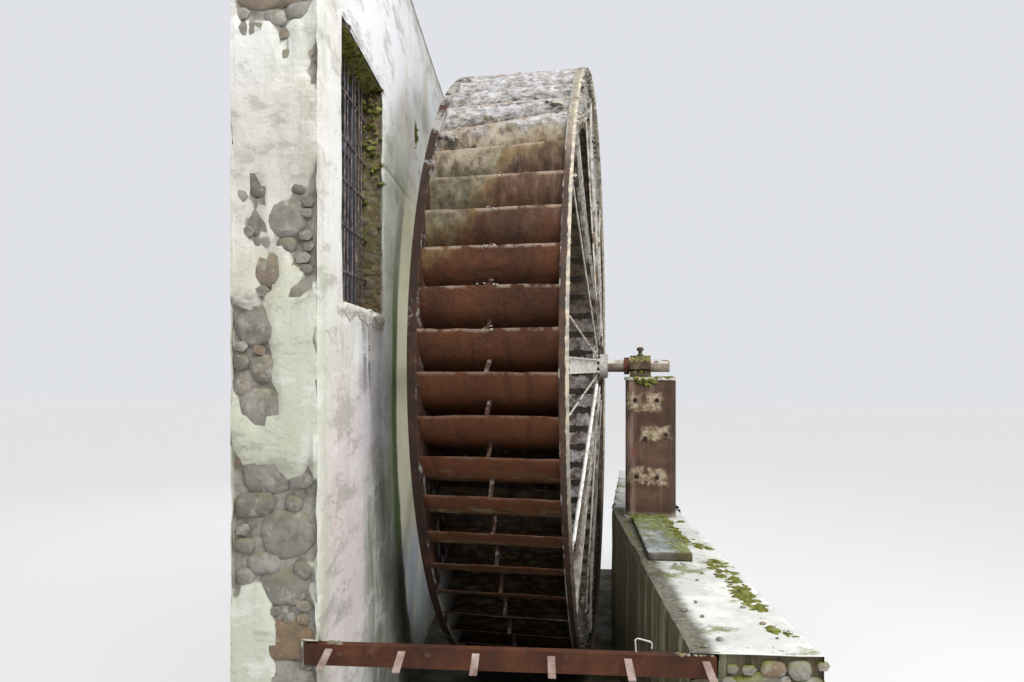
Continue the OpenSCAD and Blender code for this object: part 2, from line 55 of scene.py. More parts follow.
# Places taken from the frame
AXLE_Z = sum(v.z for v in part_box("shaft")) / 2
WHEEL_R = (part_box("right_shroud")[1].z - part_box("right_shroud")[0].z) / 2
RING_R = (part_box("sole_slats")[1].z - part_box("sole_slats")[0].z) / 2
HALF_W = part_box("right_shroud")[1].x
BOSS_IN = 0.110  # length of a hub's boss inside its disc
DISC_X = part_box("right_hub")[0].x + BOSS_IN
RIM_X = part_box("right_rim_angle")[1].x
BUCKETS = 60
ARMS = 8
PITCH = 2 * math.pi / BUCKETS
LIP_ANGLE = math.radians(-0.9)  # of the lip nearest to the front
SOLE_TURN = math.radians(-7.637)  # from a lip to its slot in the sole
LIP_HALF, SLOT_HALF = 0.475, 0.478  # half the length of a lip and of a slot
BEND_R, BEND_U, BEND_V = 0.4789, RING_R, 0.1638  # arc of a bucket plate: radius and centre
SKEW = math.radians(7.5)
BUILDING = Matrix.Rotation(SKEW, 4, "Z")
X_AXIS, Y_AXIS, Z_AXIS = Vector((1, 0, 0)), Vector((0, 1, 0)), Vector((0, 0, 1))


def building_box(node):
    """Lowest and highest corners of a node in the building's own directions."""
    turned = [BUILDING.inverted() @ v.co for v in cad[node].data.vertices]
    return [Vector(pick(p[i] for p in turned) for i in range(3)) for pick in (min, max)]


WALL_LO, WALL_HI = building_box("mill_wall")
PIT_LO, PIT_HI = building_box("pit_wall")
SLAB_LO, SLAB_HI = building_box("ledge_slab")
WIN_LO, WIN_HI = building_box("window_casement")
WALL_X = WALL_HI.x
PIT_TOP = PIT_HI.z
PIT_WIDE = 0.7
PIT_OUT = PIT_LO.x + PIT_WIDE
PIT_BEND = 0.18  # place along y of the bend in the outer wall
BEAM_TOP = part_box("race_beam")[1].z
BEAM_END = 0.16  # how far the sill beam reaches into the outer wall
HOLE_Y, HOLE_Z = -0.5, AXLE_Z + 2.25  # small hole in the plaster
JOINT_UP = 1.56  # height over the shaft of a joint in the plaster
SPLASH_Y = 1.0  # middle, along y, of the disc of the wall that the wheel wets
PIER_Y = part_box("pier_casing")[0].y

# Colours, as the display shows them
RUST_DARK = (38, 25, 18)
RUST = (86, 52, 34)
RUST_RED = (103, 62, 39)
RUST_ORANGE = (120, 76, 48)
LIME_GREY = (152, 150, 144)
CRUST = (190, 189, 191)
STRAW = (200, 186, 160)
OCHRE = (126, 104, 68)
MOSS = (112, 120, 48)
MOSS_DARK = (58, 64, 32)
# Near-black of wet steel, also used as painted shade in holes
WET_AND_SHADE = (22, 20, 17)
MORTAR = (146, 142, 134)


def linear(colour):
    """The scene's own value of a display colour in 0 to 255."""
    return tuple((c / 255 / 12.92) if c <= 10 else ((c / 255 + 0.055) / 1.055) ** 2.4 for c in colour) + (1.0,)


class Finish:
    """A node material in the making; its methods hand back output sockets."""

    def __init__(self, name, turn=0.0):
        self.mat = bpy.data.materials.new(name)
        self.mat.use_nodes = True
        self.tree = self.mat.node_tree
        self.shader = self.tree.nodes["Principled BSDF"]
        coords = self.add("ShaderNodeTexCoord")
        self.up = self.split(coords.outputs["Normal"])[2]
        place = coords.outputs["Object"]
        self.place = self.mapped(place, turn=(0, 0, -turn)) if turn else place
        self.x, self.y, self.z = self.split(self.place)

    def add(self, kind, **settings):
        node = self.tree.nodes.new(kind)
        for key, value in settings.items():
            setattr(node, key, value)
        return node

    def feed(self, socket, value):
        if isinstance(value, bpy.types.NodeSocket):
            self.tree.links.new(value, socket)
        else:
            socket.default_value = linear(value) if socket.type == "RGBA" else value

    def split(self, vector):
        node = self.add("ShaderNodeSeparateXYZ")
        self.feed(node.inputs[0], vector)
        return node.outputs[:3]

    def mapped(self, vector, scale=(1, 1, 1), turn=(0, 0, 0), move=(0, 0, 0)):
        node = self.add("ShaderNodeMapping")
        for key, value in (("Vector", vector), ("Scale", scale), ("Rotation", turn), ("Location", move)):
            self.feed(node.inputs[key], value)
        return node.outputs[0]

    def noise(self, scale, detail=6, rough=0.6, warp=0.0, move=(0, 0, 0)):
        """Noise at one scale, or at three along the axes."""
        even = not isinstance(scale, tuple)
        node = self.add("ShaderNodeTexNoise")
        at = self.mapped(self.place, scale=(1, 1, 1) if even else scale, move=move)
        values = {"Vector": at, "Scale": scale if even else 1, "Detail": detail, "Roughness": rough, "Distortion": warp}
        for key, value in values.items():
            self.feed(node.inputs[key], value)
        return node.outputs[0]

    def calc(self, operation, a, b=0.0):
        node = self.add("ShaderNodeMath", operation=operation)
        self.feed(node.inputs[0], a)
        self.feed(node.inputs[1], b)
        return node.outputs[0]

    def times(self, *values):
        return reduce(lambda a, b: self.calc("MULTIPLY", a, b), values)

    def plus(self, *values):
        return reduce(lambda a, b: self.calc("ADD", a, b), values)

    def most(self, *values):
        return reduce(lambda a, b: self.calc("MAXIMUM", a, b), values)

    def less(self, a, b):
        return self.calc("SUBTRACT", a, b)

    def size(self, value):
        return self.calc("ABSOLUTE", value)

    def fade(self, value, low, high, to_low=0.0, to_high=1.0):
        """Smooth step from to_low at low to to_high at high."""
        node = self.add("ShaderNodeMapRange", interpolation_type="SMOOTHSTEP")
        for i, v in enumerate((value, low, high, to_low, to_high)):
            self.feed(node.inputs[i], v)
        return node.outputs[0]

    def band(self, value, start, full, last, end):
        """One from full to last, and nothing before start or after end."""
        return self.times(self.fade(value, start, full), self.fade(value, end, last))

    def blots(self, low, high, *look, least=0.0, most=1.0, **more):
        """Smooth step of noise."""
        return self.fade(self.noise(*look, **more), low, high, least, most)

    def frayed(self, value, amount, *look, **more):
        """A value made uneven by noise."""
        return self.plus(value, self.times(self.noise(*look, **more), amount))

    @cached_property
    def height(self):
        """Height over the shaft."""
        return self.less(self.z, AXLE_Z)

    @cached_property
    def radius(self):
        """Distance from the shaft."""
        return self.calc("SQRT", self.plus(self.times(self.y, self.y), self.times(self.height, self.height)))

    def spot(self, places, size, ragged=0.06, scale=14):
        """One within some distance of any of the places, with a ragged edge."""
        shift = self.times(self.noise(scale, 6, 0.7), ragged)
        total = 0.0
        for place in places:
            far = self.add("ShaderNodeVectorMath", operation="DISTANCE")
            self.feed(far.inputs[0], self.place)
            self.feed(far.inputs[1], place)
            far = self.plus(far.outputs["Value"], shift)
            total = self.most(self.fade(far, size + ragged / 2, size * 0.6 + ragged / 2), total)
        return total

    def ramp(self, value, *stops):
        node = self.add("ShaderNodeValToRGB")
        self.feed(node.inputs[0], value)
        points = node.color_ramp.elements
        while len(points) < len(stops):
            points.new(0.5)
        for point, (place, colour) in zip(points, stops):
            point.position = place
            point.color = linear(colour)
        return node.outputs[0]

    def mix(self, share, a, b):
        node = self.add("ShaderNodeMix", data_type="RGBA")
        for i, value in ((0, share), (6, a), (7, b)):
            self.feed(node.inputs[i], value)
        return node.outputs[2]

    def coat(self, share, colour):
        """Lays a colour over a share of what is there."""
        self.colour = self.mix(share, self.colour, colour)

    def finish(self, rough, relief=None, depth=0.0, specular=0.3):
        self.feed(self.shader.inputs["Base Color"], self.colour)
        self.feed(self.shader.inputs["Roughness"], rough)
        self.shader.inputs["Specular IOR Level"].default_value = specular
        if relief:
            bump = self.add("ShaderNodeBump")
            bump.inputs["Distance"].default_value = depth
            self.feed(bump.inputs["Height"], relief)
            self.feed(self.shader.inputs["Normal"], bump.outputs[0])
        return self.mat


def on_wheel(r, degrees, x):
    """Point of the wheel at a distance from the shaft and an angle above the front."""
    a = math.radians(degrees)
    return Vector((x, -r * math.cos(a), AXLE_Z + r * math.sin(a)))


# Rust holes in the bucket plates, drawn as black spots of painted shade
PIT_HOLES = [tuple(on_wheel(r, a, x)) for r, a, x in (
    (2.72, 34.0, -0.43), (2.7, 37.5, -0.22), (2.7, 38.5, 0.02),
    (2.71, 44.6, 0.24), (2.71, 45.0, 0.36), (2.74, 50.6, -0.1))]


def bucket_finish(name):
    """Dark rust, lichen on the upper left, pale crust on top and wet black at the bottom, with painted shade under the
    top lips and in the rust holes, a pale line on the lips that is partly painted highlight, and pale mottles inside
    the low plates that are partly painted light.
    """
    f = Finish(name)
    grain = f.noise(38, 4)
    f.colour = f.ramp(f.noise(2.2, 8, 0.65), (0.3, RUST_DARK), (0.48, RUST), (0.64, RUST_RED), (0.85, RUST_ORANGE))
    f.coat(f.fade(grain, 0.45, 0.75, 0, 0.5), RUST_DARK)
    f.coat(f.fade(f.height, 0.4, -0.7, 0, 0.4), (126, 76, 46))
    f.coat(f.blots(0.48, 0.66, (16, 1.5, 1.5), move=(3, 3, 3), most=0.4), (56, 38, 26))
    drips = f.times(f.blots(0.6, 0.72, (34, 1.4, 1.4), 5), f.blots(0.45, 0.66, 1.7, move=(5, 1, 3), most=0.35))
    f.coat(drips, (132, 122, 108))

    # Films of lichen that reach down from the top, further on the left
    film = f.noise((22, 8, 8), 8)
    low_film = f.ramp(film, (0.34, (52, 42, 36)), (0.52, (88, 68, 54)), (0.7, (120, 102, 86)))
    high_film = f.ramp(film, (0.34, (54, 46, 30)), (0.5, (96, 80, 56)), (0.66, (132, 116, 88)))
    brown = f.frayed(f.height, 0.9, (9, 3, 3), 8, 0.7)
    f.coat(f.fade(brown, 1.2, 1.9, 0, 0.92), f.mix(f.fade(brown, 1.85, 2.2), low_film, high_film))
    run = f.times(f.noise((13, 2, 2), move=(1, 7, 7)), 0.5)
    to_right = f.fade(f.frayed(f.x, 0.24, (3, 6, 6), 7, move=(4, 4, 9)), -0.2, 0.34, 0, 0.8)
    reach = f.frayed(f.plus(f.less(f.height, to_right), run), 0.65, 4.5, 8, 0.7)
    ochre = f.ramp(f.noise(8, 7), (0.35, (80, 62, 42)), (0.55, OCHRE), (0.75, (156, 142, 114)))
    f.coat(f.fade(reach, 1.27, 1.48, 0, 0.85), ochre)
    film = f.noise((12, 9, 9), 9, 0.7)
    green = f.ramp(film, (0.34, (58, 54, 42)), (0.5, (106, 99, 80)), (0.66, (146, 138, 116)))
    f.coat(f.fade(reach, 1.42, 1.64, 0, 0.9), green)

    # Crust on the uppermost plates, palest at their lips; the darker crust deeper in is painted shade under each lip
    to_lip = f.fade(f.frayed(f.radius, 0.1, (5, 9, 9), 8), WHEEL_R - 0.045, WHEEL_R + 0.045)
    dust = f.noise((14, 26, 26), 9, 0.72)
    crust_in_painted_shade = f.ramp(dust, (0.38, (40, 35, 30)), (0.48, (98, 92, 84)), (0.6, (156, 153, 150)))
    high_crust = f.ramp(dust, (0.3, (92, 87, 80)), (0.43, (146, 143, 140)), (0.55, CRUST), (0.75, (208, 208, 210)))
    crown = f.frayed(f.height, 0.6, 5, 8, 0.7, move=(2, 2, 5))
    cream = f.plus(crown, f.fade(f.x, 0.15, -0.2, 0, 0.16))
    f.coat(f.fade(cream, 1.85, 2.08, 0, 0.8), f.mix(f.fade(film, 0.36, 0.58), (88, 74, 58), (172, 159, 140)))
    crusted = f.fade(crown, 1.98, 2.22)
    f.coat(crusted, f.mix(to_lip, crust_in_painted_shade, high_crust))
    f.coat(f.times(f.blots(0.56, 0.66, 7, 7, move=(9, 1, 1)), f.fade(f.height, 1.4, 1.9, 0, 0.6)), (104, 94, 52))
    # Pale line along the lips, stronger higher up: worn edges, partly painted highlight
    lip_wear_and_highlight = f.times(f.fade(f.radius, WHEEL_R - 0.012, WHEEL_R - 0.004), f.blots(0.42, 0.54, 9, 6, most=0.8))
    f.coat(f.times(lip_wear_and_highlight, f.fade(f.height, -0.6, 0.6, 0.3, 1)), (156, 138, 122))
    # Black spots at the rust holes: painted shade of the dark seen through them
    f.coat(f.times(f.spot(PIT_HOLES, 0.02, 0.2, 22), 0.9), WET_AND_SHADE)

    # Wet plates low down, mottled inside with pale colour that is partly painted light lifting their shade
    wet = f.fade(f.height, -0.9, -2.0)
    damp = f.ramp(f.noise((6, 12, 12), 8, 0.7, move=(6, 2, 2)), (0.36, WET_AND_SHADE), (0.52, (44, 36, 26)), (0.68, (92, 86, 64)))
    f.coat(f.times(wet, 0.68), damp)
    # Pale mottles inside the low plates: painted light that lifts their shade
    inner = f.times(f.fade(f.radius, WHEEL_R - 0.03, WHEEL_R - 0.1), f.fade(f.height, -0.5, -1.1))
    inner = f.times(inner, f.blots(0.42, 0.6, (5, 14, 14), 10, 0.74, move=(2, 8, 2), least=0.1, most=0.85))
    mottles_and_painted_light = f.ramp(f.noise((12, 20, 20), 8), (0.38, (84, 68, 46)), (0.52, (130, 118, 86)), (0.66, (178, 172, 152)))
    f.coat(inner, mottles_and_painted_light)
    scale = f.times(f.blots(0.56, 0.66, (9, 30, 30), 9, 0.75), f.fade(f.height, -0.5, -1.8, 0, 0.75))
    f.coat(scale, (136, 132, 124))
    relief = f.plus(f.times(grain, 0.4), f.noise(11, 8), f.times(crusted, f.times(dust, 1.5)))
    return f.finish(f.fade(wet, 0, 1, 0.78, 0.42), relief, 0.008)


def limed_steel(name, share=0.5, rust=RUST, lime=STRAW, fine=1.0, edge=None, high=0.0, low=0.0, bright=RUST_ORANGE):
    """Rusty steel with a pale lime crust over a share of it, and only on the far edge if one is given."""
    f = Finish(name)
    patches = f.noise(5.5 * fine, 9, 0.68, 0.4)
    f.colour = f.ramp(f.noise(9 * fine, 7), (0.32, RUST_DARK), (0.54, rust), (0.78, bright))
    level = 0.62 - 0.26 * share
    up = f.fade(f.height, 1.2, 2.0, 0, high)
    down = f.fade(f.height, -1.0, -2.0, 0, low)
    crust = f.fade(f.plus(patches, f.times(f.plus(up, down), 0.2)), level, level + 0.09)
    if edge:
        out = f.plus(f.x, f.times(f.less(f.noise(16, 5), 0.5), 0.03))
        out = f.most(f.fade(out, edge - 0.006, edge, 0.04, 1.0), f.times(up, 0.8))
        crust = f.times(crust, f.times(out, f.fade(f.height, -1.5, -0.4, 0.3, 1.0)))
    f.coat(crust, f.mix(f.blots(0.35, 0.65, 21 * fine), lime, LIME_GREY))
    f.coat(f.fade(f.height, -1.7, -2.7, 0, 0.55 - 0.4 * low), WET_AND_SHADE)
    aged = f.times(f.blots(0.5, 0.6, 8, move=(3, 3, 3)), f.fade(f.height, 1.6, 2.5, 0, 0.85))
    f.coat(aged, f.mix(f.blots(0.4, 0.6, 25), (60, 54, 42), LIME_GREY))
    relief = f.frayed(f.times(crust, 0.6), 0.5, 60 * fine)
    return f.finish(f.fade(crust, 0, 1, 0.7, 0.9), relief, 0.003)


def arm_finish(name):
    """Weathered webs between flanges whose edges carry a pale crust."""
    f = Finish(name)
    lift = f.fade(f.radius, RING_R - 0.06, 0.37, 0.0, DISC_X - HALF_W)
    lift = f.less(f.size(f.x), f.plus(lift, HALF_W))
    edge = f.fade(f.frayed(lift, 0.012, 12), 0.03, 0.04)
    patches = f.blots(0.44, 0.6, 7, 9, 0.7, most=0.75)
    f.colour = f.ramp(f.noise(10, 8), (0.32, (42, 34, 28)), (0.52, (84, 70, 58)), (0.74, (120, 98, 78)))
    level = f.times(f.fade(f.size(f.height), 0.12, 0.07), f.blots(0.3, 0.42, 15, 6))
    crust = f.most(f.most(patches, level), f.times(edge, f.blots(0.34, 0.42, 9, 7)))
    f.coat(crust, f.mix(f.blots(0.35, 0.65, 24), (206, 202, 192), (150, 147, 140)))
    grimy = f.times(f.fade(f.height, -0.5, -1.2, 0, 0.7), f.fade(f.height, -2.1, -1.6))
    f.coat(f.times(grimy, f.blots(0.38, 0.56, 6, 8, 0.7, move=(4, 1, 4), least=0.35)), (84, 74, 64))
    f.coat(f.fade(f.height, -2.0, -2.8, 0, 0.2), WET_AND_SHADE)
    return f.finish(0.85, f.frayed(f.times(crust, 0.7), 0.5, 70), 0.003)


def sole_finish(name):
    """Sole slats, olive brown above the shaft and lime grey below it."""
    f = Finish(name)
    f.colour = f.ramp(f.noise(7, 8), (0.3, (46, 38, 30)), (0.5, (88, 76, 66)), (0.72, (128, 114, 104)))
    pale = f.times(f.blots(0.4, 0.58, 6, 9, 0.7), f.fade(f.height, 0.9, -0.2, 0.15, 0.9))
    f.coat(pale, f.mix(f.blots(0.4, 0.6, 19, 7), (138, 132, 132), (186, 181, 182)))
    f.coat(f.fade(f.height, 0.3, 1.1, 0, 0.65), f.ramp(f.noise(12, 7), (0.4, (44, 36, 22)), (0.65, (96, 80, 52))))
    front = f.ramp(f.noise((7, 16, 16), 9, 0.72), (0.36, (48, 36, 24)), (0.5, (92, 72, 48)),
                   (0.62, (126, 112, 80)), (0.74, (172, 164, 144)))
    f.coat(f.times(f.fade(f.y, -0.2, -1.2), f.fade(f.height, 0.2, -0.6, 0, 0.85)), front)
    # Paler towards the bottom: painted light that lifts the shade between the low plates
    f.coat(f.fade(f.height, -1.6, -2.3, 0, 0.5), (92, 82, 58))
    return f.finish(0.85, f.noise(28, 8), 0.005)


def rusty_iron(name, dark=RUST_DARK, mid=RUST, bright=RUST_ORANGE, scale=7.0, topping=None, bloom=0.5):
    """Iron with rust in several browns, a little pale bloom and, if one is given, a colour of its upper faces."""
    f = Finish(name)
    f.colour = f.ramp(f.noise(scale, 8, 0.66), (0.3, dark), (0.52, mid), (0.74, bright))
    f.coat(f.blots(0.6, 0.72, scale * 3.1, move=(2, 7, 4), most=bloom), LIME_GREY)
    if topping:
        f.coat(f.times(f.fade(f.up, 0.2, 0.7), f.blots(0.36, 0.52, 14, 7, least=0.1, most=0.85)), topping)
    return f.finish(0.72, f.noise(scale * 9), 0.002)


def plaster_finish(name):
    """Old lime plaster, stained from above and green along the line that the wheel splashes."""
    f = Finish(name, turn=SKEW)
    side = f.fade(f.x, WALL_X - 0.06, WALL_X - 0.04)
    warp = f.times(f.noise(1.3, 8, 0.66, move=(6, 1, 2)), 0.7)
    shift = f.less(warp, 0.35)
    broken = f.blots(0.36, 0.56, (5, 6, 1.6), 10, 0.74, move=(8, 2, 4), least=0.25)

    def zone(y0, y1, z0, z1, soft=0.25):
        """Ragged field of the wall between two places along it and two heights over the shaft."""
        along = f.band(f.plus(f.y, shift), y0 - soft, y0 + soft, y1 - soft, y1 + soft)
        upright = f.band(f.plus(f.height, shift), z0 - soft, z0 + soft, z1 - soft, z1 + soft)
        return f.times(f.times(along, broken), upright)

    f.colour = f.mix(f.blots(0.4, 0.62, 0.8, 6), (214, 215, 211), (202, 196, 188))
    stains = f.noise((1.8, 2.6, 0.5), 9, 0.68)
    f.coat(f.fade(stains, 0.5, 0.64, 0, 0.6), (186, 186, 172))
    f.coat(f.blots(0.55, 0.7, (3, 4, 0.6), 9, 0.7, move=(2, 5, 1), most=0.6), (158, 158, 142))
    f.coat(f.blots(0.56, 0.62, 6, 10, 0.78, move=(4, 4, 4), most=0.5), (168, 164, 154))
    f.coat(f.blots(0.56, 0.74, (16, 16, 0.7), 7, 0.65, most=0.35), (150, 146, 134))
    f.coat(f.times(zone(-3.75, -2.6, -1.9, -0.2), 0.85), (214, 199, 197))
    f.coat(f.times(zone(-2.95, -1.9, -0.7, 0.3), 0.8), (192, 190, 200))
    f.coat(f.times(zone(-2.75, -1.8, -3, -0.75), f.fade(stains, 0.36, 0.56, 0.2, 0.9)), (122, 128, 112))
    f.coat(f.times(zone(-4.2, -3.66, -2, 0.6, 0.12), 0.6), (186, 190, 164))
    f.coat(f.times(zone(-2.1, -0.6, -0.2, 1.9), 0.5), (190, 192, 166))
    under_sill = f.times(zone(-3.15, -2.45, -0.15, 0.5, 0.1), f.blots(0.44, 0.6, (9, 9, 0.8), 6))
    f.coat(f.times(under_sill, 0.9), (92, 88, 84))
    f.coat(f.times(f.fade(f.height, 1.6, 2.4), f.blots(0.36, 0.56, 1.1, 6, move=(3, 3, 8), most=0.75)), (222, 224, 228))
    blotches = f.noise((2, 1.6, 4.5), 11, 0.74, move=(1, 3, 9))
    f.coat(f.fade(blotches, 0.52, 0.6, 0, 0.5), (146, 142, 134))
    f.coat(f.fade(blotches, 0.46, 0.38, 0, 0.55), (224, 222, 218))
    scars = f.size(f.less(f.noise((3, 2.2, 5), 7, 0.6, move=(2, 6, 3)), 0.5))
    f.coat(f.times(f.fade(scars, 0.012, 0.004), f.blots(0.52, 0.62, 1.4, move=(5, 5, 1), most=0.4)), (112, 108, 100))

    # The disc that the wheel keeps wet, with algae along its edge and, outside it, a dark green band that is partly
    # algae and partly painted shade
    away = f.less(f.y, SPLASH_Y)
    level = f.plus(f.most(f.height, 0.0), f.times(f.calc("MINIMUM", f.height, 0.0), 0.72))
    ragged = f.calc("SQRT", f.plus(f.times(away, away), f.times(level, level)))
    ragged = f.plus(ragged, f.times(f.less(f.noise((3, 5, 1.8), 8, 0.62), 0.5), 0.22))
    drift = f.plus(f.plus(f.height, f.times(shift, 1.6)), f.fade(f.y, -1.2, 2.5, 0, 0.5))
    inside = f.times(f.fade(ragged, 2.6, 2.5), f.times(side, f.fade(drift, 1.95, 1.25)))
    f.coat(f.times(inside, 0.75), (228, 223, 188))
    foot_lime = f.times(inside, f.times(f.fade(f.height, -1.3, -1.8), f.blots(0.34, 0.52, (3, 6, 1), 8)))
    f.coat(f.times(foot_lime, 0.9), (180, 187, 198))
    # Dark green band outside the algae line, darker lower down: algae and painted shade
    shade = f.times(f.times(f.band(ragged, 2.5, 2.66, 2.8, 3.2), side), f.fade(f.height, 1.6, -1.6, 0.1, 0.85))
    f.coat(shade, f.mix(f.fade(f.height, -0.9, -1.7), (104, 112, 72), (46, 54, 40)))
    core = f.times(f.band(ragged, 2.5, 2.58, 2.7, 2.84), f.times(side, f.fade(f.height, 1.72, 0.9)))
    core = f.times(core, f.fade(f.height, 1.2, 0.0, 0.55, 0.92))
    f.coat(core, f.mix(f.fade(f.height, -1.2, -1.9), (74, 90, 42), (36, 42, 32)))

    # Foot, top, the joint in the plaster and the small hole
    f.coat(f.fade(f.frayed(f.z, 1.4, 1.9, 6), 1.7, 0.7, 0, 0.8), (88, 94, 76))
    f.coat(f.fade(f.frayed(f.z, 0.9, 2.6, 7), WALL_HI.z + 0.2, WALL_HI.z + 0.6, 0, 0.7), (140, 140, 122))
    joint = f.size(f.frayed(f.less(f.height, JOINT_UP), 0.06, 3))
    joint = f.times(f.fade(joint, 0.03, 0.012), f.times(side, f.fade(f.y, -2.14, -2.1)))
    f.coat(f.times(joint, f.fade(f.y, -0.6, -1.2, 0, 0.6)), (118, 118, 92))
    f.coat(f.times(f.spot([(WALL_X, HOLE_Y, HOLE_Z)], 0.13, 0.12), 0.85), (112, 116, 70))
    # Black in the small hole: painted shade in its hollow
    f.coat(f.spot([(WALL_X, HOLE_Y, HOLE_Z)], 0.06, 0.04), WET_AND_SHADE)

    # Window reveal, and the masonry laid bare at the ends and on top
    recess = f.band(f.y, WIN_LO.y - 0.1, WIN_LO.y - 0.06, WIN_HI.y + 0.06, WIN_HI.y + 0.1)
    recess = f.times(f.fade(f.x, WALL_X - 0.012, WALL_X - 0.04), recess)
    recess = f.times(recess, f.band(f.z, WIN_LO.z - 0.1, WIN_LO.z - 0.05, WIN_HI.z + 0.02, WIN_HI.z + 0.06))
    recess = f.times(recess, f.fade(f.x, WALL_LO.x + 0.03, WALL_LO.x + 0.05))
    reveal = f.ramp(f.noise(11, 8), (0.34, (62, 54, 38)), (0.52, (104, 90, 66)), (0.7, (142, 128, 100)))
    f.coat(recess, f.mix(f.blots(0.48, 0.6, 6, 7, move=(2, 2, 2), most=0.7), reveal, (96, 100, 62)))
    ends = [f.band(f.y, end.y + s * 0.024, end.y + s * 0.032, end.y + s * 0.066, end.y + s * 0.075)
            for end, s in ((WALL_LO, 1), (WALL_HI, -1))]
    across = f.band(f.x, WALL_LO.x + 0.014, WALL_LO.x + 0.024, WALL_X - 0.024, WALL_X - 0.014)
    bare = f.most(f.times(across, f.most(*ends)), f.fade(f.z, WALL_HI.z - 0.06, WALL_HI.z - 0.052))
    f.coat(bare, f.ramp(f.noise(9, 9, 0.7), (0.34, (98, 94, 86)), (0.52, MORTAR), (0.7, (172, 168, 158))))
    relief = f.less(f.plus(f.noise(30, 6), f.times(f.noise(4, 3), 2.0)), joint)
    return f.finish(0.9, relief, 0.005, specular=0.15)


def stone_finish(name, moss=0.0, tone=None):
    """Field stones, each of its own grey or brown."""
    f = Finish(name, turn=SKEW)
    own = f.add("ShaderNodeNewGeometry").outputs["Random Per Island"]
    f.colour = f.ramp(own, (0.1, (132, 129, 122)), (0.35, (158, 155, 148)), (0.6, (118, 115, 108)),
                      (0.8, (146, 138, 126)), (0.95, (134, 112, 92)))
    f.coat(f.blots(0.42, 0.66, 12, 9, 0.72, most=0.65), (92, 88, 80))
    f.coat(f.blots(0.54, 0.66, 18, 8, move=(5, 5, 5), most=0.6), (172, 169, 160))
    if tone:
        f.coat(0.72, f.ramp(f.noise(16, 9, 0.7), (0.36, (58, 48, 32)), (0.52, tone), (0.7, (150, 134, 104))))
    f.coat(f.times(f.fade(f.up, -0.2, 0.8), f.blots(0.42, 0.6, 5, 7, most=moss)), MOSS)
    return f.finish(0.88, f.noise(48, 7), 0.004, specular=0.2)


def mortar_finish(name, tint=MORTAR, pale=(186, 180, 166)):
    f = Finish(name, turn=SKEW)
    f.colour = f.mix(f.blots(0.38, 0.62, 2.2, 8), tint, pale)
    f.coat(f.blots(0.45, 0.7, 33, most=0.6), (116, 110, 100))
    return f.finish(0.95, f.noise(70, 5), 0.005, specular=0.1)


def pit_finish(name):
    """Wet, streaked render of the race, with a pale mossy top."""
    f = Finish(name, turn=SKEW)
    side = f.ramp(f.noise((7, 7, 0.5), 9, 0.68), (0.34, (62, 56, 42)), (0.46, (112, 100, 78)), (0.54, (100, 106, 78)),
                  (0.62, (160, 150, 128)), (0.76, (192, 186, 170)))
    side = f.mix(f.fade(f.frayed(f.z, 0.5, 3), 1.4, 0.6, 0, 0.4), side, (40, 42, 31))
    f.colour = f.mix(f.blots(0.4, 0.62, 5, 8), (196, 197, 192), (216, 216, 210))
    f.coat(f.blots(0.52, 0.68, 2.4, 7, move=(2, 2, 2), most=0.6), (156, 160, 160))
    patches = f.blots(0.53, 0.63, 1.7, 10, 0.74, move=(1, 6, 2))
    f.coat(f.times(patches, 0.85), f.ramp(f.noise(24, 8), (0.34, MOSS_DARK), (0.5, MOSS), (0.68, (148, 152, 70))))
    f.coat(f.blots(0.6, 0.68, 15, 9, 0.7, most=0.7), (84, 80, 66))
    strip = f.fade(f.frayed(f.x, 0.12, 4, 8), PIT_LO.x + 0.24, PIT_LO.x + 0.15)
    strip = f.times(strip, f.fade(f.y, PIT_BEND + 0.1, PIT_BEND))
    f.coat(f.times(strip, 0.85), f.mix(f.blots(0.4, 0.6, 26), (46, 42, 30), (92, 90, 62)))
    f.colour = f.mix(f.fade(f.up, 0.45, 0.8), side, f.colour)
    relief = f.plus(f.noise(24, 8), f.times(patches, 0.6))
    return f.finish(f.fade(f.up, 0.0, 0.8, 0.5, 0.92), relief, 0.006, specular=0.25)


def slab_finish(name):
    """Blue-grey slab, with moss along its far and outer parts."""
    f = Finish(name, turn=SKEW)
    f.colour = f.ramp(f.noise(4, 9, 0.68), (0.34, (122, 126, 124)), (0.52, (158, 163, 162)), (0.7, (190, 192, 186)))
    outer, far = f.fade(f.x, SLAB_LO.x + 0.1, SLAB_HI.x, 0.04, 0.34), f.fade(f.y, SLAB_LO.y + 0.5, SLAB_HI.y, 0, 0.24)
    growth = f.fade(f.plus(outer, far, f.noise(5, 10, 0.74)), 0.59, 0.7, 0, 0.9)
    f.coat(growth, f.ramp(f.noise(30, 8), (0.34, (70, 74, 44)), (0.5, (116, 122, 68)), (0.68, (156, 158, 100))))
    rim = f.fade(f.frayed(f.y, 0.1, 9, 8), SLAB_LO.y + 0.12, SLAB_LO.y + 0.06, 0, 0.85)
    f.coat(f.most(rim, f.fade(f.up, 0.7, 0.4, 0, 0.7)), (74, 62, 44))
    f.coat(f.blots(0.56, 0.66, 17, 9, move=(3, 1, 1), most=0.7), (84, 80, 60))
    return f.finish(0.85, f.plus(f.noise(26, 8), growth), 0.006, specular=0.2)


def mud_finish(name):
    f = Finish(name, turn=SKEW)
    f.colour = f.ramp(f.noise(3, 9, 0.7), (0.34, (30, 30, 22)), (0.54, (62, 58, 44)), (0.72, (98, 92, 74)))
    return f.finish(f.blots(0.4, 0.6, 2, least=0.6, most=0.95), f.noise(9, 9), 0.01, specular=0.15)


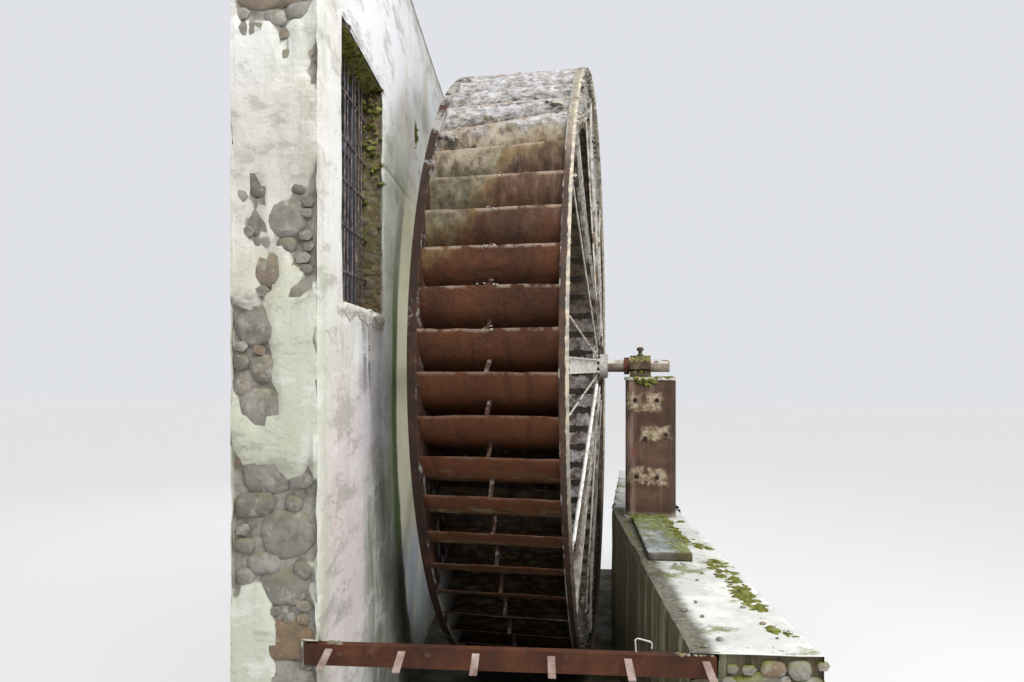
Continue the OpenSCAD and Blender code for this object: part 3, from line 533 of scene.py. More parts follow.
def soffit_finish(name):
    """Stone lintel whose underside has grown over with moss."""
    f = Finish(name, turn=SKEW)
    f.colour = f.mix(f.blots(0.4, 0.62, 7, 8), (110, 106, 90), (142, 138, 122))
    under = f.times(f.fade(f.up, -0.3, -0.8), f.blots(0.34, 0.5, 4, 7, least=0.3))
    f.coat(under, f.ramp(f.noise(14, 9), (0.34, (78, 80, 40)), (0.52, (124, 128, 62)), (0.7, (158, 158, 100))))
    return f.finish(0.95, f.noise(40, 7), 0.006, specular=0.1)


# Lime patches of the pier: middle in x and z, width and height
PATCHES = (
    (0.95, 2.62, 0.12, 0.15), (1.13, 2.62, 0.13, 0.14), (1.06, 2.57, 0.1, 0.07),
    (1.08, 2.32, 0.13, 0.11), (1.2, 2.33, 0.12, 0.09), (1.14, 2.3, 0.1, 0.06),
    (0.96, 1.92, 0.13, 0.13), (1.16, 1.91, 0.14, 0.12), (1.06, 1.9, 0.14, 0.06))


def pier_finish(name):
    """Brown casing with pale runs, a red patch and a dark outer edge."""
    f = Finish(name)
    f.colour = f.ramp(f.noise(3.2, 8, 0.66), (0.3, (44, 32, 25)), (0.5, (78, 56, 43)),
                      (0.66, (98, 75, 60)), (0.8, (124, 100, 82)))
    f.coat(f.blots(0.52, 0.68, (16, 16, 0.9), 6, most=0.5), (132, 118, 102))
    f.coat(f.times(f.fade(f.x, 0.99, 0.9), f.blots(0.4, 0.56, (8, 8, 1.5), 6, most=0.7)), (156, 132, 118))
    f.coat(f.fade(f.frayed(f.x, 0.1, 5), 1.26, 1.38, 0, 0.6), RUST_DARK)
    f.coat(f.times(f.spot([(0.97, PIER_Y, 2.12), (1.06, PIER_Y, 2.05)], 0.02, 0.26, 7), 0.55), (110, 56, 44))
    pale = 0.0
    torn = f.times(f.less(f.noise((22, 22, 12), 9, 0.75), 0.5), 2.6)
    for x, z, wide, high in PATCHES:
        off = f.most(*(f.calc("DIVIDE", f.size(f.less(at, middle)), size * 0.62)
                       for at, middle, size in ((f.x, x, wide), (f.z, z, high))))
        pale = f.most(pale, f.fade(f.plus(off, torn), 1.15, 0.6))
    f.coat(f.times(pale, 0.8), f.mix(f.blots(0.4, 0.6, 26, 8), (186, 172, 148), (126, 106, 84)))
    f.coat(f.times(f.spot([(1.06, PIER_Y, 2.8), (1.1, PIER_Y, 2.28)], 0.04, 0.16, 9), 0.65), (104, 104, 62))
    f.coat(f.fade(f.frayed(f.z, 0.1, 8), 1.63, 1.57, 0, 0.7), (150, 142, 124))
    return f.finish(0.72, f.noise(36, 7), 0.003)


def moss_finish(name):
    f = Finish(name)
    f.colour = f.ramp(f.noise(20, 9, 0.7), (0.34, (62, 62, 34)), (0.5, (108, 112, 54)), (0.68, (148, 148, 88)))
    return f.finish(1.0, f.noise(160, 3), 0.006, specular=0.05)


def wood_finish(name):
    f = Finish(name, turn=SKEW)
    grain = f.noise((60, 60, 3), 6)
    f.colour = f.ramp(grain, (0.35, (58, 66, 76)), (0.55, (84, 92, 100)), (0.75, (118, 112, 100)))
    return f.finish(0.7, grain, 0.002)


def glass_finish(name):
    f = Finish(name, turn=SKEW)
    dirt = f.blots(0.42, 0.7, 5, 8)
    # Dark blue where the glass is clean: painted shade of the room behind the pane
    f.colour = f.mix(dirt, (38, 46, 60), (98, 102, 106))
    f.shader.inputs["Coat Weight"].default_value = 0.5
    return f.finish(f.fade(dirt, 0, 1, 0.12, 0.5), specular=0.6)


FINISH = {
    "bucket_steel": bucket_finish("bucket_rust"),
    "shroud_steel": limed_steel("shroud_crust", 0.3, (66, 45, 34), LIME_GREY, high=0.9, low=0.9, bright=(98, 66, 46)),
    "rim_steel": limed_steel(
        "rim_crust", 1.35, (62, 42, 32), (206, 192, 168), edge=RIM_X - 0.02, high=0.75, bright=(90, 60, 44)),
    "sole_steel": sole_finish("sole_crust"),
    "arm_steel": arm_finish("arm_crust"),
    "rod_steel": limed_steel("rod_crust", 0.95, RUST, (204, 196, 178), 1.5),
    "stay_steel": limed_steel("stay_crust", 0.4, (68, 45, 34), (114, 95, 80), 2.0, bright=(96, 66, 48)),
    "hub_iron": limed_steel("hub_crust", 1.25, (84, 74, 66), (186, 184, 178), 1.6),
    "shaft_iron": rusty_iron("shaft_rust", (62, 50, 42), (134, 120, 106), (188, 182, 170), topping=(214, 211, 204)),
    "collar_iron": rusty_iron("collar_rust", (50, 28, 20), (88, 46, 34), (118, 70, 50)),
    "bearing_iron": rusty_iron("bearing_rust", (34, 26, 22), (76, 60, 44), (130, 116, 88), topping=(128, 122, 72)),
    "pier_steel": pier_finish("pier_rust"),
    "pier_plate": limed_steel("plate_crust", 1.2, RUST, (206, 200, 188)),
    "pier_masonry": mortar_finish("pier_fill"),
    "beam_steel": rusty_iron("beam_rust", (38, 22, 12), (70, 37, 20), (96, 54, 30), scale=5.0, bloom=0.1),
    "strap_steel": rusty_iron("strap_rust", (104, 82, 72), (152, 132, 122), (184, 168, 160)),
    "race_stone": pit_finish("race_render"),
    "ledge_stone": slab_finish("ledge_slate"),
    "plaster_wall": plaster_finish("old_plaster"),
    "lintel_stone": soffit_finish("mossy_lintel"),
    "sill_mortar": mortar_finish("sill_mortar", (196, 192, 184)),
    "casement_wood": wood_finish("casement_paint"),
    "pane_glass": glass_finish("dirty_glass"),
}
STONES = stone_finish("field_stones", moss=0.35)
MOSSY_STONES = stone_finish("mossy_stones", moss=0.9)
REVEAL_STONES = stone_finish("reveal_stones", moss=0.5, tone=(100, 84, 58))
MOSS_SKIN = moss_finish("moss")
WHITE_LIME = mortar_finish("white_lime", (214, 211, 203))
# Near-white lime of a tie rod's sleeve, partly painted highlight
ROD_LIME_AND_HIGHLIGHT = mortar_finish("rod_lime_and_highlight", (226, 224, 220), (232, 230, 226))
GREY_LIME = mortar_finish("grey_lime", (160, 157, 150))
STRAW_CRUST = limed_steel("straw_crust", 1.15, (92, 76, 58), (182, 170, 146), 2.0)
# Near-black strips over the sole's slots: painted shade
SOLE_SLOT_SHADE = rusty_iron("slot_painted_shade", (26, 22, 18), (48, 40, 32), (84, 74, 62))
DARK_IRON = rusty_iron("dark_bolts", (24, 20, 18), (52, 40, 34), (86, 66, 54))
GRILLE_IRON = rusty_iron("grille_rust", (46, 42, 46), (96, 86, 86), (158, 144, 138), scale=16.0)
OWN_FINISH = {
    "left_rim_angle": limed_steel("left_rim_rust", 0.12, (52, 35, 27), LIME_GREY, high=0.9, bright=(82, 54, 38)),
    "race_floor": mud_finish("race_mud"),
}

slot_of = {row["node"]: row["material_slot"] for row in frame["record"]["subparts"]}
for node, obj in cad.items():
    obj.data.materials.clear()
    obj.data.materials.append(OWN_FINISH.get(node, FINISH[slot_of[node]]))


def placed(name, mesh, material, sharp):
    """A smooth object of a mesh, whose edges are sharp from an angle on."""
    mesh.materials.append(material)
    mesh.shade_smooth()
    mesh.set_sharp_from_angle(angle=math.radians(sharp))
    obj = bpy.data.objects.new(name, mesh)
    bpy.context.scene.collection.objects.link(obj)
    return obj


SAME = 1e-5  # points nearer than this are one


def cut_copy(node, cuts, turn=None):
    """A copy of a node's mesh, cut across by planes so that it can bend; cuts are (normal, distances)."""
    bm = bmesh.new()
    bm.from_mesh(cad[node].data)
    if turn:
        bm.transform(turn.inverted())
    bmesh.ops.remove_doubles(bm, verts=bm.verts, dist=SAME)
    for normal, distances in cuts:
        for d in distances:
            everything = bm.verts[:] + bm.edges[:] + bm.faces[:]
            bmesh.ops.bisect_plane(bm, geom=everything, dist=SAME, plane_co=normal * d, plane_no=normal)
    return bm


def weathered(name, bm, node, body, sharp):
    """Shows the worn copy in place of the node."""
    mesh = bpy.data.meshes.new(name)
    bm.to_mesh(mesh)
    bm.free()
    obj = placed(name, mesh, FINISH[slot_of[node]], sharp)
    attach(obj, body)
    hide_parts(node)


def steps(low, high, pitch):
    """Even places strictly between two ends, about a pitch apart."""
    count = max(1, round((high - low) / pitch))
    return [low + (high - low) * i / count for i in range(1, count)]


def cloud(p, layers=3, loss=0.8):
    """Fractal noise about nought."""
    return noise.fractal(p, loss, 2.1, layers)


def ripple(*place):
    """Smooth noise about nought."""
    return noise.noise(Vector(place))


# Bent lips and plates of the wheel
def lip_bend(p):
    """How far weather and knocks have moved a point of the bucket ring."""
    y, z = p.y, p.z - AXLE_Z
    out = min(max((math.hypot(y, z) - RING_R) / (WHEEL_R - RING_R), 0.0), 1.0)
    angle = math.atan2(z, -y)
    tangent = Vector((0, math.sin(angle), math.cos(angle)))
    radial = Vector((0, -math.cos(angle), math.sin(angle)))
    turns = (angle - LIP_ANGLE) / PITCH
    index = round(turns)
    wave = ripple(p.x * 1.9, index * 3.7, 0.5)
    knock = max(0.0, ripple(p.x * 4.5, index * 5.1, 7.5) - 0.1)
    worn = abs(ripple(p.x * 16, index * 2.3, 3.1))
    top = math.exp(-((math.degrees(angle) - 55) / 20) ** 2)
    torn = math.exp(-(turns - 7) ** 2)
    lean = (p.x / HALF_W) * (0.016 + 0.085 * torn) + 0.014 * ripple(p.x * 3.1, index * 9.1, 1.5)
    across = (0.006 + 0.014 * top) * wave - 0.016 * knock + (0.4 * top + 0.6 * torn) * lean
    return tangent * across * out ** 1.6 - radial * (0.007 + 0.02 * top) * worn * out ** 6


for node in ("buckets_front", "buckets_top", "buckets_back", "buckets_bottom", "bucket_stays"):
    copy = cut_copy(node, [] if node == "bucket_stays" else [(X_AXIS, steps(-HALF_W, HALF_W, 0.03))])
    for v in copy.verts:
        v.co += lip_bend(v.co)
    weathered(node + "_weathered", copy, node, "wheel", 35)


# Uneven plaster, render and masonry of the building
def worn_masonry(name, node, cuts, depth):
    """Shows a node's copy in the building with each of its sides worn back by depth(place, side)."""
    bm = cut_copy(node, cuts, BUILDING)
    bm.normal_update()
    for v in bm.verts:
        at, sides = v.co.copy(), []
        for face in v.link_faces:
            if all(face.normal.dot(other) < 0.9 for other in sides):
                sides.append(face.normal.copy())
        for n in sides:
            v.co -= n * max(depth(at, n), 0.0)
    bm.transform(BUILDING)
    weathered(name, bm, node, "root", 50)


def rough(p, coarse, fine):
    return coarse * cloud(p * 1.1, 4, 0.9) + fine * cloud(p * 6, 3, 0.9)


def near(value, *places):
    return min(abs(value - place) for place in places)


def edge_cuts(low, high, pitch, *edges):
    """Even cuts with a few more close to each edge."""
    cuts = steps(low, high, pitch)
    for edge in edges:
        cuts += [edge + d for d in (-0.035, -0.012, 0.012, 0.035) if low < edge + d < high]
    return cuts


def laid_bare(x, z):
    """One where the plaster has fallen off the end of the mill wall, and nothing where it holds."""
    fallen = cloud(Vector((x * 1.9, z * 1.25, 3.7)), 5) + 0.3 * math.exp(-z / 0.5)
    return min(max((fallen - 0.06) / 0.1, 0.0), 1.0)


def wall_depth(p, n):
    """Wear of the mill wall, deeper where stones are bedded in it."""
    if n.z < -0.9 and p.z < 0.01:
        return 0.0
    if abs(n.y) > 0.9 and near(p.y, WALL_LO.y, WALL_HI.y) < 0.01:
        around = min(laid_bare(p.x + dx, p.z + dz) for dx, dz in ((0.05, 0), (-0.05, 0), (0, 0.08), (0, -0.08)))
        return 0.01 + 0.035 * max(laid_bare(p.x, p.z), around) + rough(p, 0.004, 0.004)
    if n.z > 0.9 and p.z > WALL_HI.z - 0.01:
        return 0.05 + rough(p, 0.006, 0.006)
    if abs(n.y) > 0.9 and WIN_LO.z - 0.01 < p.z < WIN_HI.z + 0.01 and WALL_X - 0.3 < p.x:
        return 0.03 + rough(p, 0.003, 0.004)
    arris = near(p.y, WALL_LO.y, WALL_HI.y)
    if WIN_LO.z - 0.05 < p.z < WIN_HI.z + 0.05:
        arris = min(arris, near(p.y, WIN_LO.y, WIN_HI.y))
    if WIN_LO.y - 0.02 < p.y < WIN_HI.y + 0.02:
        arris = min(arris, near(p.z, WIN_LO.z, WIN_HI.z))
    chip = max(0.0, cloud(p * 7 + Vector((4, 4, 4))))
    depth = 0.007 + rough(p, 0.005, 0.0025) + max(0.0, 1 - arris / 0.04) * (0.008 + 0.03 * chip)
    if n.x > 0.9:
        depth += 0.05 * math.exp(-((math.hypot(p.y - HOLE_Y, p.z - HOLE_Z) / 0.04) ** 4))
        depth += 0.006 * math.exp(-((near(p.z, AXLE_Z + JOINT_UP) / 0.03) ** 2)) * (p.y > WIN_HI.y)
    return depth


worn_masonry("mill_wall_plaster", "mill_wall", [
    (Y_AXIS, edge_cuts(WALL_LO.y, WALL_HI.y, 0.07, WALL_LO.y, WALL_HI.y, WIN_LO.y, WIN_HI.y, HOLE_Y)),
    (Z_AXIS, edge_cuts(WALL_LO.z, WALL_HI.z, 0.07, WALL_HI.z, WIN_LO.z, WIN_HI.z, HOLE_Z, AXLE_Z + JOINT_UP)),
    (X_AXIS, edge_cuts(WALL_LO.x, WALL_HI.x, 0.035, WALL_LO.x, WALL_HI.x)),
], wall_depth)


def pit_depth(p, n):
    """Wear of the race's outer wall."""
    if n.z < -0.9:
        return 0.0
    if (abs(n.y) > 0.9 and near(p.y, PIT_LO.y, PIT_HI.y) < 0.01) or (n.x > 0.9 and p.x > PIT_LO.x + 0.6):
        return 0.04 + rough(p, 0.005, 0.005)
    chip = max(0.0, cloud(p * 5 + Vector((1, 7, 2))))
    if n.z > 0.9:
        side = near(p.x, PIT_LO.x) if p.y < PIT_BEND else 1.0
        carried = SLAB_LO.x - 0.05 < p.x < SLAB_HI.x + 0.05 and SLAB_LO.y - 0.05 < p.y < SLAB_HI.y + 0.05
        pier = p.y > SLAB_HI.y - 0.05 and p.y < 0.45 and p.x < SLAB_HI.x + 0.35
        flat = 0.001 if carried or pier else 0.006 + rough(p, 0.006, 0.003)
        return flat + max(0.0, 1 - side / 0.05) * 0.02 * chip
    return 0.008 + rough(p, 0.008, 0.004) + max(0.0, 1 - near(p.z, PIT_TOP) / 0.05) * (0.012 + 0.04 * chip)


worn_masonry("pit_wall_render", "pit_wall", [
    (Y_AXIS, edge_cuts(PIT_LO.y, PIT_HI.y, 0.08, PIT_LO.y, PIT_HI.y)),
    (Z_AXIS, edge_cuts(PIT_LO.z, PIT_HI.z, 0.08, PIT_HI.z)),
    (X_AXIS, edge_cuts(PIT_LO.x, PIT_HI.x, 0.08, PIT_LO.x)),
], pit_depth)


def slab_depth(p, n):
    if n.z < -0.5:
        return 0.0
    return 0.003 + max(0.0, rough(p, 0.003, 0.004)) + 0.01 * max(0.0, noise.noise(p * 9)) * (abs(n.z) < 0.5)


worn_masonry("ledge_slab_worn", "ledge_slab", [
    (Y_AXIS, steps(SLAB_LO.y, SLAB_HI.y, 0.05)),
    (Z_AXIS, steps(SLAB_LO.z, SLAB_HI.z, 0.02)),
    (X_AXIS, steps(SLAB_LO.x, SLAB_HI.x, 0.05)),
], slab_depth)


# Small shapes, each as its vertices and faces
def ball(seed, fineness=2, lumps=0.22, scale=1.4):
    """An uneven pebble about one metre across."""
    bm = bmesh.new()
    bmesh.ops.create_icosphere(bm, subdivisions=fineness, radius=0.5)
    shift = Vector((seed * 3.1, seed * 1.7, seed * 7.3))
    verts = [v.co * (1 + lumps * cloud(v.co * scale * 2 + shift)) for v in bm.verts]
    faces = [[v.index for v in f.verts] for f in bm.faces]
    bm.free()
    return verts, faces


def squared(seed, fineness=2):
    """A pebble with flatter faces, as a field stone laid in a wall."""
    verts, faces = ball(seed, fineness, 0.2, 1.1)
    return [Vector(math.copysign(abs(2 * c) ** 0.74 / 2, c) for c in v) for v in verts], faces


def bar_faces(rings, sides):
    """Two ends and the skin of a bar that is made of rings of vertices."""
    faces = [list(range(sides)), [(rings - 1) * sides + k for k in range(sides)]]
    for i in range(rings - 1):
        for k in range(sides):
            a, b = i * sides + k, i * sides + (k + 1) % sides
            faces.append([a, b, b + sides, a + sides])
    return faces


def round_corners(sides):
    """Cosine and sine of even angles."""
    return [(math.cos(a), math.sin(a)) for a in (2 * math.pi * k / sides for k in range(sides))]


def lathe(profile, sides):
    """Closed form turned about z; the profile gives radius and height from foot to top."""
    faces = bar_faces(len(profile), sides)
    faces[0].reverse()
    return [Vector((r * c, r * s, z)) for r, z in profile for c, s in round_corners(sides)], faces


def joined(*shapes):
    verts, faces = [], []
    for shape in shapes:
        start = len(verts)
        verts += shape[0]
        faces += [[start + i for i in f] for f in shape[1]]
    return verts, faces


def tube(points, radii, sides=8):
    """Closed round bar along points; radii is one radius or one for each point."""
    points = [Vector(p) for p in points]
    whole = points[-1] - points[0]
    fixed = min((X_AXIS, Y_AXIS, Z_AXIS), key=lambda axis: abs(whole.dot(axis)))
    verts = []
    for i, p in enumerate(points):
        ahead = (points[min(i + 1, len(points) - 1)] - points[max(i - 1, 0)]).normalized()
        across = ahead.cross(fixed).normalized()
        other = ahead.cross(across)
        r = radii[i] if isinstance(radii, list) else radii
        verts += [p + across * r * c + other * r * s for c, s in round_corners(sides)]
    return verts, bar_faces(len(points), sides)


def shell(outer, inner):
    """Closed form between two grids of points."""
    rows, cols = len(outer), len(outer[0])
    half = rows * cols
    faces = []
    for i in range(rows - 1):
        for j in range(cols - 1):
            a = i * cols + j
            faces.append([a, a + 1, a + cols + 1, a + cols])
            faces.append([half + a, half + a + cols, half + a + cols + 1, half + a + 1])
        for a in (i * cols, i * cols + cols - 1):
            faces.append([a, a + cols, half + a + cols, half + a])
    for j in range(cols - 1):
        for a in (j, (rows - 1) * cols + j):
            faces.append([a, half + a, half + a + 1, a + 1])
    return [p for grid in (outer, inner) for row in grid for p in row], faces


PEBBLES = [ball(i) for i in range(6)]
LUMPS = [ball(20 + i, 2, 0.5, 2.2) for i in range(6)]
CRUMBS = [ball(40 + i, 1, 0.4, 2.0) for i in range(5)]
BIG_STONES = [squared(i, 3) for i in range(6)]
FIELD_STONES = [squared(10 + i, 2) for i in range(8)]
SMALL_STONES = [squared(30 + i, 1) for i in range(6)]
RIVET = lathe([(0.5, 0), (0.47, 0.4), (0.34, 0.75), (0.14, 1.0)], 8)
BOLT = joined(lathe([(0.5, 0), (0.5, 0.62), (0.44, 0.72)], 6), lathe([(0.24, 0.6), (0.24, 1.05), (0.18, 1.12)], 8))
CUP = lathe([(0.03, 0), (0.03, 0.018), (0.018, 0.024), (0.018, 0.05),
             (0.033, 0.056), (0.034, 0.078), (0.026, 0.088), (0.008, 0.092)], 16)


def frame_at(origin, across, out, size, roll=0.0):
    """Matrix that puts a shape at origin with its z axis along out and the given size."""
    out = Vector(out).normalized()
    across = Vector(across)
    across = (across - out * across.dot(out)).normalized()
    turn = Matrix((across, out.cross(across), out)).transposed().to_4x4()
    spin = Matrix.Rotation(roll, 4, "Z")
    return Matrix.Translation(origin) @ turn @ spin @ Matrix.Diagonal(Vector(size).to_4d())


class Pile:
    """Many small shapes gathered into one piece."""

    def __init__(self, turn=Matrix()):
        self.verts, self.faces, self.turn = [], [], turn

    def put(self, shape, place=Matrix()):
        start = len(self.verts)
        place = self.turn @ place
        self.verts += [place @ v for v in shape[0]]
        self.faces += [[start + i for i in f] for f in shape[1]]

    def strew(self, *rows):
        """Puts lumps at drawn places; a row has shapes, count, seed, way to draw a place, two sizes and flatness."""
        for kinds, count, seed, place_of, low, high, flat in rows:
            pick = random.Random(seed)
            for _ in range(count):
                place = Vector(place_of(pick))
                size = low * (high / low) ** pick.random()
                across = [pick.uniform(-1, 1) for _ in range(3)]
                shape = [size * f * pick.uniform(a, b) for f, a, b in ((1, 0.8, 1.5), (1, 0.7, 1.1), (flat, 0.7, 1.1))]
                self.put(pick.choice(kinds), frame_at(place, across, Z_AXIS, shape))
        return self

    def show(self, name, body, slot, material):
        """Makes the piece, which rides on a body."""
        mesh = bpy.data.meshes.new(name)
        mesh.from_pydata([tuple(v) for v in self.verts], [], self.faces)
        bm = bmesh.new()
        bm.from_mesh(mesh)
        bmesh.ops.recalc_face_normals(bm, faces=bm.faces)
        bm.to_mesh(mesh)
        bm.free()
        obj = placed(name, mesh, material, 42)
        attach(obj, body)


def inset(pick, spread):
    """Drawn distance from an edge."""
    return abs(pick.gauss(0, spread))


# Stones in the ends and tops of the walls
BIG = ((0.25, 260), (0.17, 900), (0.11, 1800), (0.065, 2200))
SMALL = ((0.085, 70), (0.06, 300), (0.04, 900), (0.028, 900))


def rubble(pile, origin, along, up, width, height, sizes, seed, proud, skip=None):
    """Packs field stones over a rectangle, the largest first."""
    pick = random.Random(seed)
    out = along.cross(up).normalized()
    laid = []
    for size, tries in sizes:
        kinds = BIG_STONES if size > 0.17 else FIELD_STONES if size > 0.08 else SMALL_STONES
        for _ in range(tries):
            r = size * pick.uniform(0.8, 1.15) / 2
            wide = pick.uniform(1.05, 1.6)
            if width < 2 * r * wide or height < 2 * r:
                continue
            u, v = pick.uniform(r * wide, width - r * wide), pick.uniform(r, height - r)
            if skip and skip(u, v):
                continue
            if all(math.hypot((u - a) / 1.3, v - b) > (r + c) * 0.88 for a, b, c in laid):
                laid.append((u, v, r))
                thick = min(r * 1.3, 0.09)
                place = Vector(origin) + along * u + up * v + out * (proud - thick / 2)
                tilt = pick.uniform(-0.3, 0.3)
                pile.put(pick.choice(kinds), frame_at(place, along, out, (2 * r * wide, 2 * r, thick), tilt))


def stones(name, slot, material, *fields):
    """A piece with the stones of one or more rectangles."""
    pile = Pile(BUILDING)
    for field in fields:
        rubble(pile, *field)
    pile.show(name, "root", slot, material)


wall_w, wall_l, wall_h = WALL_X - WALL_LO.x, WALL_HI.y - WALL_LO.y, WALL_HI.z - 0.07
stones("wall_end_stones", "plaster_wall", STONES, (
    (WALL_LO.x, WALL_LO.y + 0.035, 0.01), X_AXIS, Z_AXIS, wall_w - 0.03, wall_h, BIG, 3, 0.02,
    lambda u, v: laid_bare(WALL_LO.x + u, v) < 0.4))
stones("wall_far_end_stones", "plaster_wall", STONES, (
    (WALL_X, WALL_HI.y - 0.035, 0.01), -X_AXIS, Z_AXIS, wall_w, wall_h, BIG, 4, 0.02,
    lambda u, v: laid_bare(WALL_X - u, v) < 0.4))
stones("wall_top_stones", "plaster_wall", STONES, (
    (WALL_LO.x + 0.01, WALL_LO.y + 0.01, WALL_HI.z - 0.045), X_AXIS, Y_AXIS,
    wall_w - 0.02, wall_l - 0.025, BIG[1:3], 5, 0.035))
reveal_w, win_h = WALL_X - WIN_HI.x - 0.02, WIN_HI.z - WIN_LO.z
stones("window_reveal_stones", "plaster_wall", REVEAL_STONES,
       ((WIN_HI.x, WIN_HI.y + 0.022, WIN_LO.z), X_AXIS, Z_AXIS, reveal_w, win_h, SMALL, 6, -0.001),
       ((WALL_X - 0.02, WIN_LO.y - 0.022, WIN_LO.z), -X_AXIS, Z_AXIS, reveal_w, win_h, SMALL, 7, -0.001))
pit_h = PIT_TOP - 0.03
back_run = Vector((PIT_HI.x - PIT_OUT, PIT_HI.y - PIT_BEND, 0))
along_back = back_run.normalized()
back_from = Vector((PIT_OUT, PIT_BEND, 0.01)) - along_back.cross(Z_AXIS) * 0.03
stones("pit_wall_stones", "race_stone", MOSSY_STONES,
       ((PIT_LO.x + BEAM_END, PIT_LO.y + 0.03, 0.01), X_AXIS, Z_AXIS, PIT_WIDE - BEAM_END, pit_h, BIG, 8, 0.025),
       ((PIT_OUT - 0.03, PIT_LO.y, 0.01), Y_AXIS, Z_AXIS, PIT_BEND - PIT_LO.y, pit_h, BIG[:3], 9, 0.025),
       (back_from, along_back, Z_AXIS, back_run.length - 0.03, pit_h, BIG[:3], 10, 0.025),
       ((PIT_HI.x, PIT_HI.y - 0.035, 0.01), -X_AXIS, Z_AXIS, PIT_WIDE, pit_h, BIG, 11, 0.022))


# Window grille, sill crust and moss
def wavy(x, y0, y1, z0, z1, count, seed):
    """Points from one end of a bar to the other that sway a little to each side."""
    shift = Vector((seed * 1.3, seed * 0.7, seed * 2.1))
    points = [Vector((x, y0, z0)).lerp(Vector((x, y1, z1)), i / (count - 1)) for i in range(count)]
    return [p + 0.012 * noise.noise_vector(p * 1.7 + shift) for p in points]


GRILLE_X = WALL_X - 0.155
grille = Pile(BUILDING)
upright_y = [WIN_LO.y + 0.09 + 0.108 * k for k in range(11)]
for k, y in enumerate(upright_y):
    grille.put(tube(wavy(GRILLE_X, y, y, WIN_LO.z + 0.035, WIN_HI.z + 0.003, 14, k), 0.0062))
for k, up in enumerate((0.64, 0.95, 1.26, 1.53, 1.86)):
    row = wavy(GRILLE_X + 0.004, WIN_LO.y - 0.04, WIN_HI.y + 0.04, AXLE_Z + up, AXLE_Z + up, 24, 20 + k)
    grille.put(tube(row, 0.009))
    for y in upright_y:
        knot = min(row, key=lambda p: abs(p.y - y))
        grille.put(CRUMBS[k], frame_at((knot.x, y, knot.z), X_AXIS, Z_AXIS, (0.024, 0.028, 0.026)))
grille.show("window_grille", "root", "casement_wood", GRILLE_IRON)

SILL_FROM, SILL_TO = WIN_LO.y - 0.15, WIN_HI.y + 0.01
SILL_ROWS, SILL_COLS = 9, 90
outer, inner = [], []
for i in range(SILL_ROWS):
    outer.append([])
    inner.append([])
    for j in range(SILL_COLS):
        y = SILL_FROM + (SILL_TO - SILL_FROM) * j / (SILL_COLS - 1)
        down = i / (SILL_ROWS - 1)
        taper = min(1.0, (y - SILL_FROM) / 0.12 + 0.15, (SILL_TO - y) / 0.05 + 0.3)
        ragged = noise.fractal(Vector((y * 2.6, 3.3, 0)), 0.7, 2.1, 3) + 0.35 * ripple(y * 21, 1.1, 0)
        z = WIN_LO.z + (0.036 if y > WIN_LO.y else 0.02 * taper) - ((0.05 + 0.05 * ragged) * taper + 0.036) * down
        bulge = 0.016 * math.sin(math.pi * min(down + 0.12, 1.0)) * taper
        bulge += 0.007 * cloud(Vector((y * 16, z * 16, 1.5)))
        outer[i].append(Vector((WALL_X - 0.002 + max(bulge, 0.001), y, z)))
        inner[i].append(Vector((WALL_X - 0.03, y, z)))
sill = Pile(BUILDING)
sill.put(shell(outer, inner))
sill.strew((LUMPS, 46, 12, lambda pick: (
    WALL_X - pick.uniform(0.0, 0.12), pick.uniform(SILL_FROM + 0.05, SILL_TO - 0.03),
    WIN_LO.z + pick.uniform(-0.03, 0.035)), 0.025, 0.07, 0.6))
sill.show("sill_crust", "root", "sill_mortar", WHITE_LIME)

growth = Pile(BUILDING).strew(
    (LUMPS, 110, 13, lambda pick: (
        WALL_X - 0.03 - inset(pick, 0.09), pick.uniform(WIN_LO.y, WIN_HI.y), WIN_HI.z - 0.002), 0.02, 0.06, 0.45),
    (LUMPS, 60, 14, lambda pick: (
        WALL_X - pick.uniform(0.02, 0.2), WIN_HI.y + 0.012, WIN_HI.z - inset(pick, 0.35)), 0.02, 0.055, 0.8),
    (LUMPS, 34, 15, lambda pick: (
        WALL_X - 0.006, HOLE_Y + pick.gauss(0, 0.045), HOLE_Z - 0.03 + pick.gauss(0, 0.06)), 0.02, 0.05, 0.5))
growth.show("window_moss", "root", "lintel_stone", MOSS_SKIN)


# Rivets and bolts of the wheel
def wheel_place(r, degrees, side, x, wide, high, roll=0.0):
    """Frame on a face of the wheel that looks along the shaft."""
    across = on_wheel(1, degrees, 0) - on_wheel(0, 0, 0)
    return frame_at(on_wheel(r, degrees, side * x), across, X_AXIS * side, (wide, wide, high), roll)


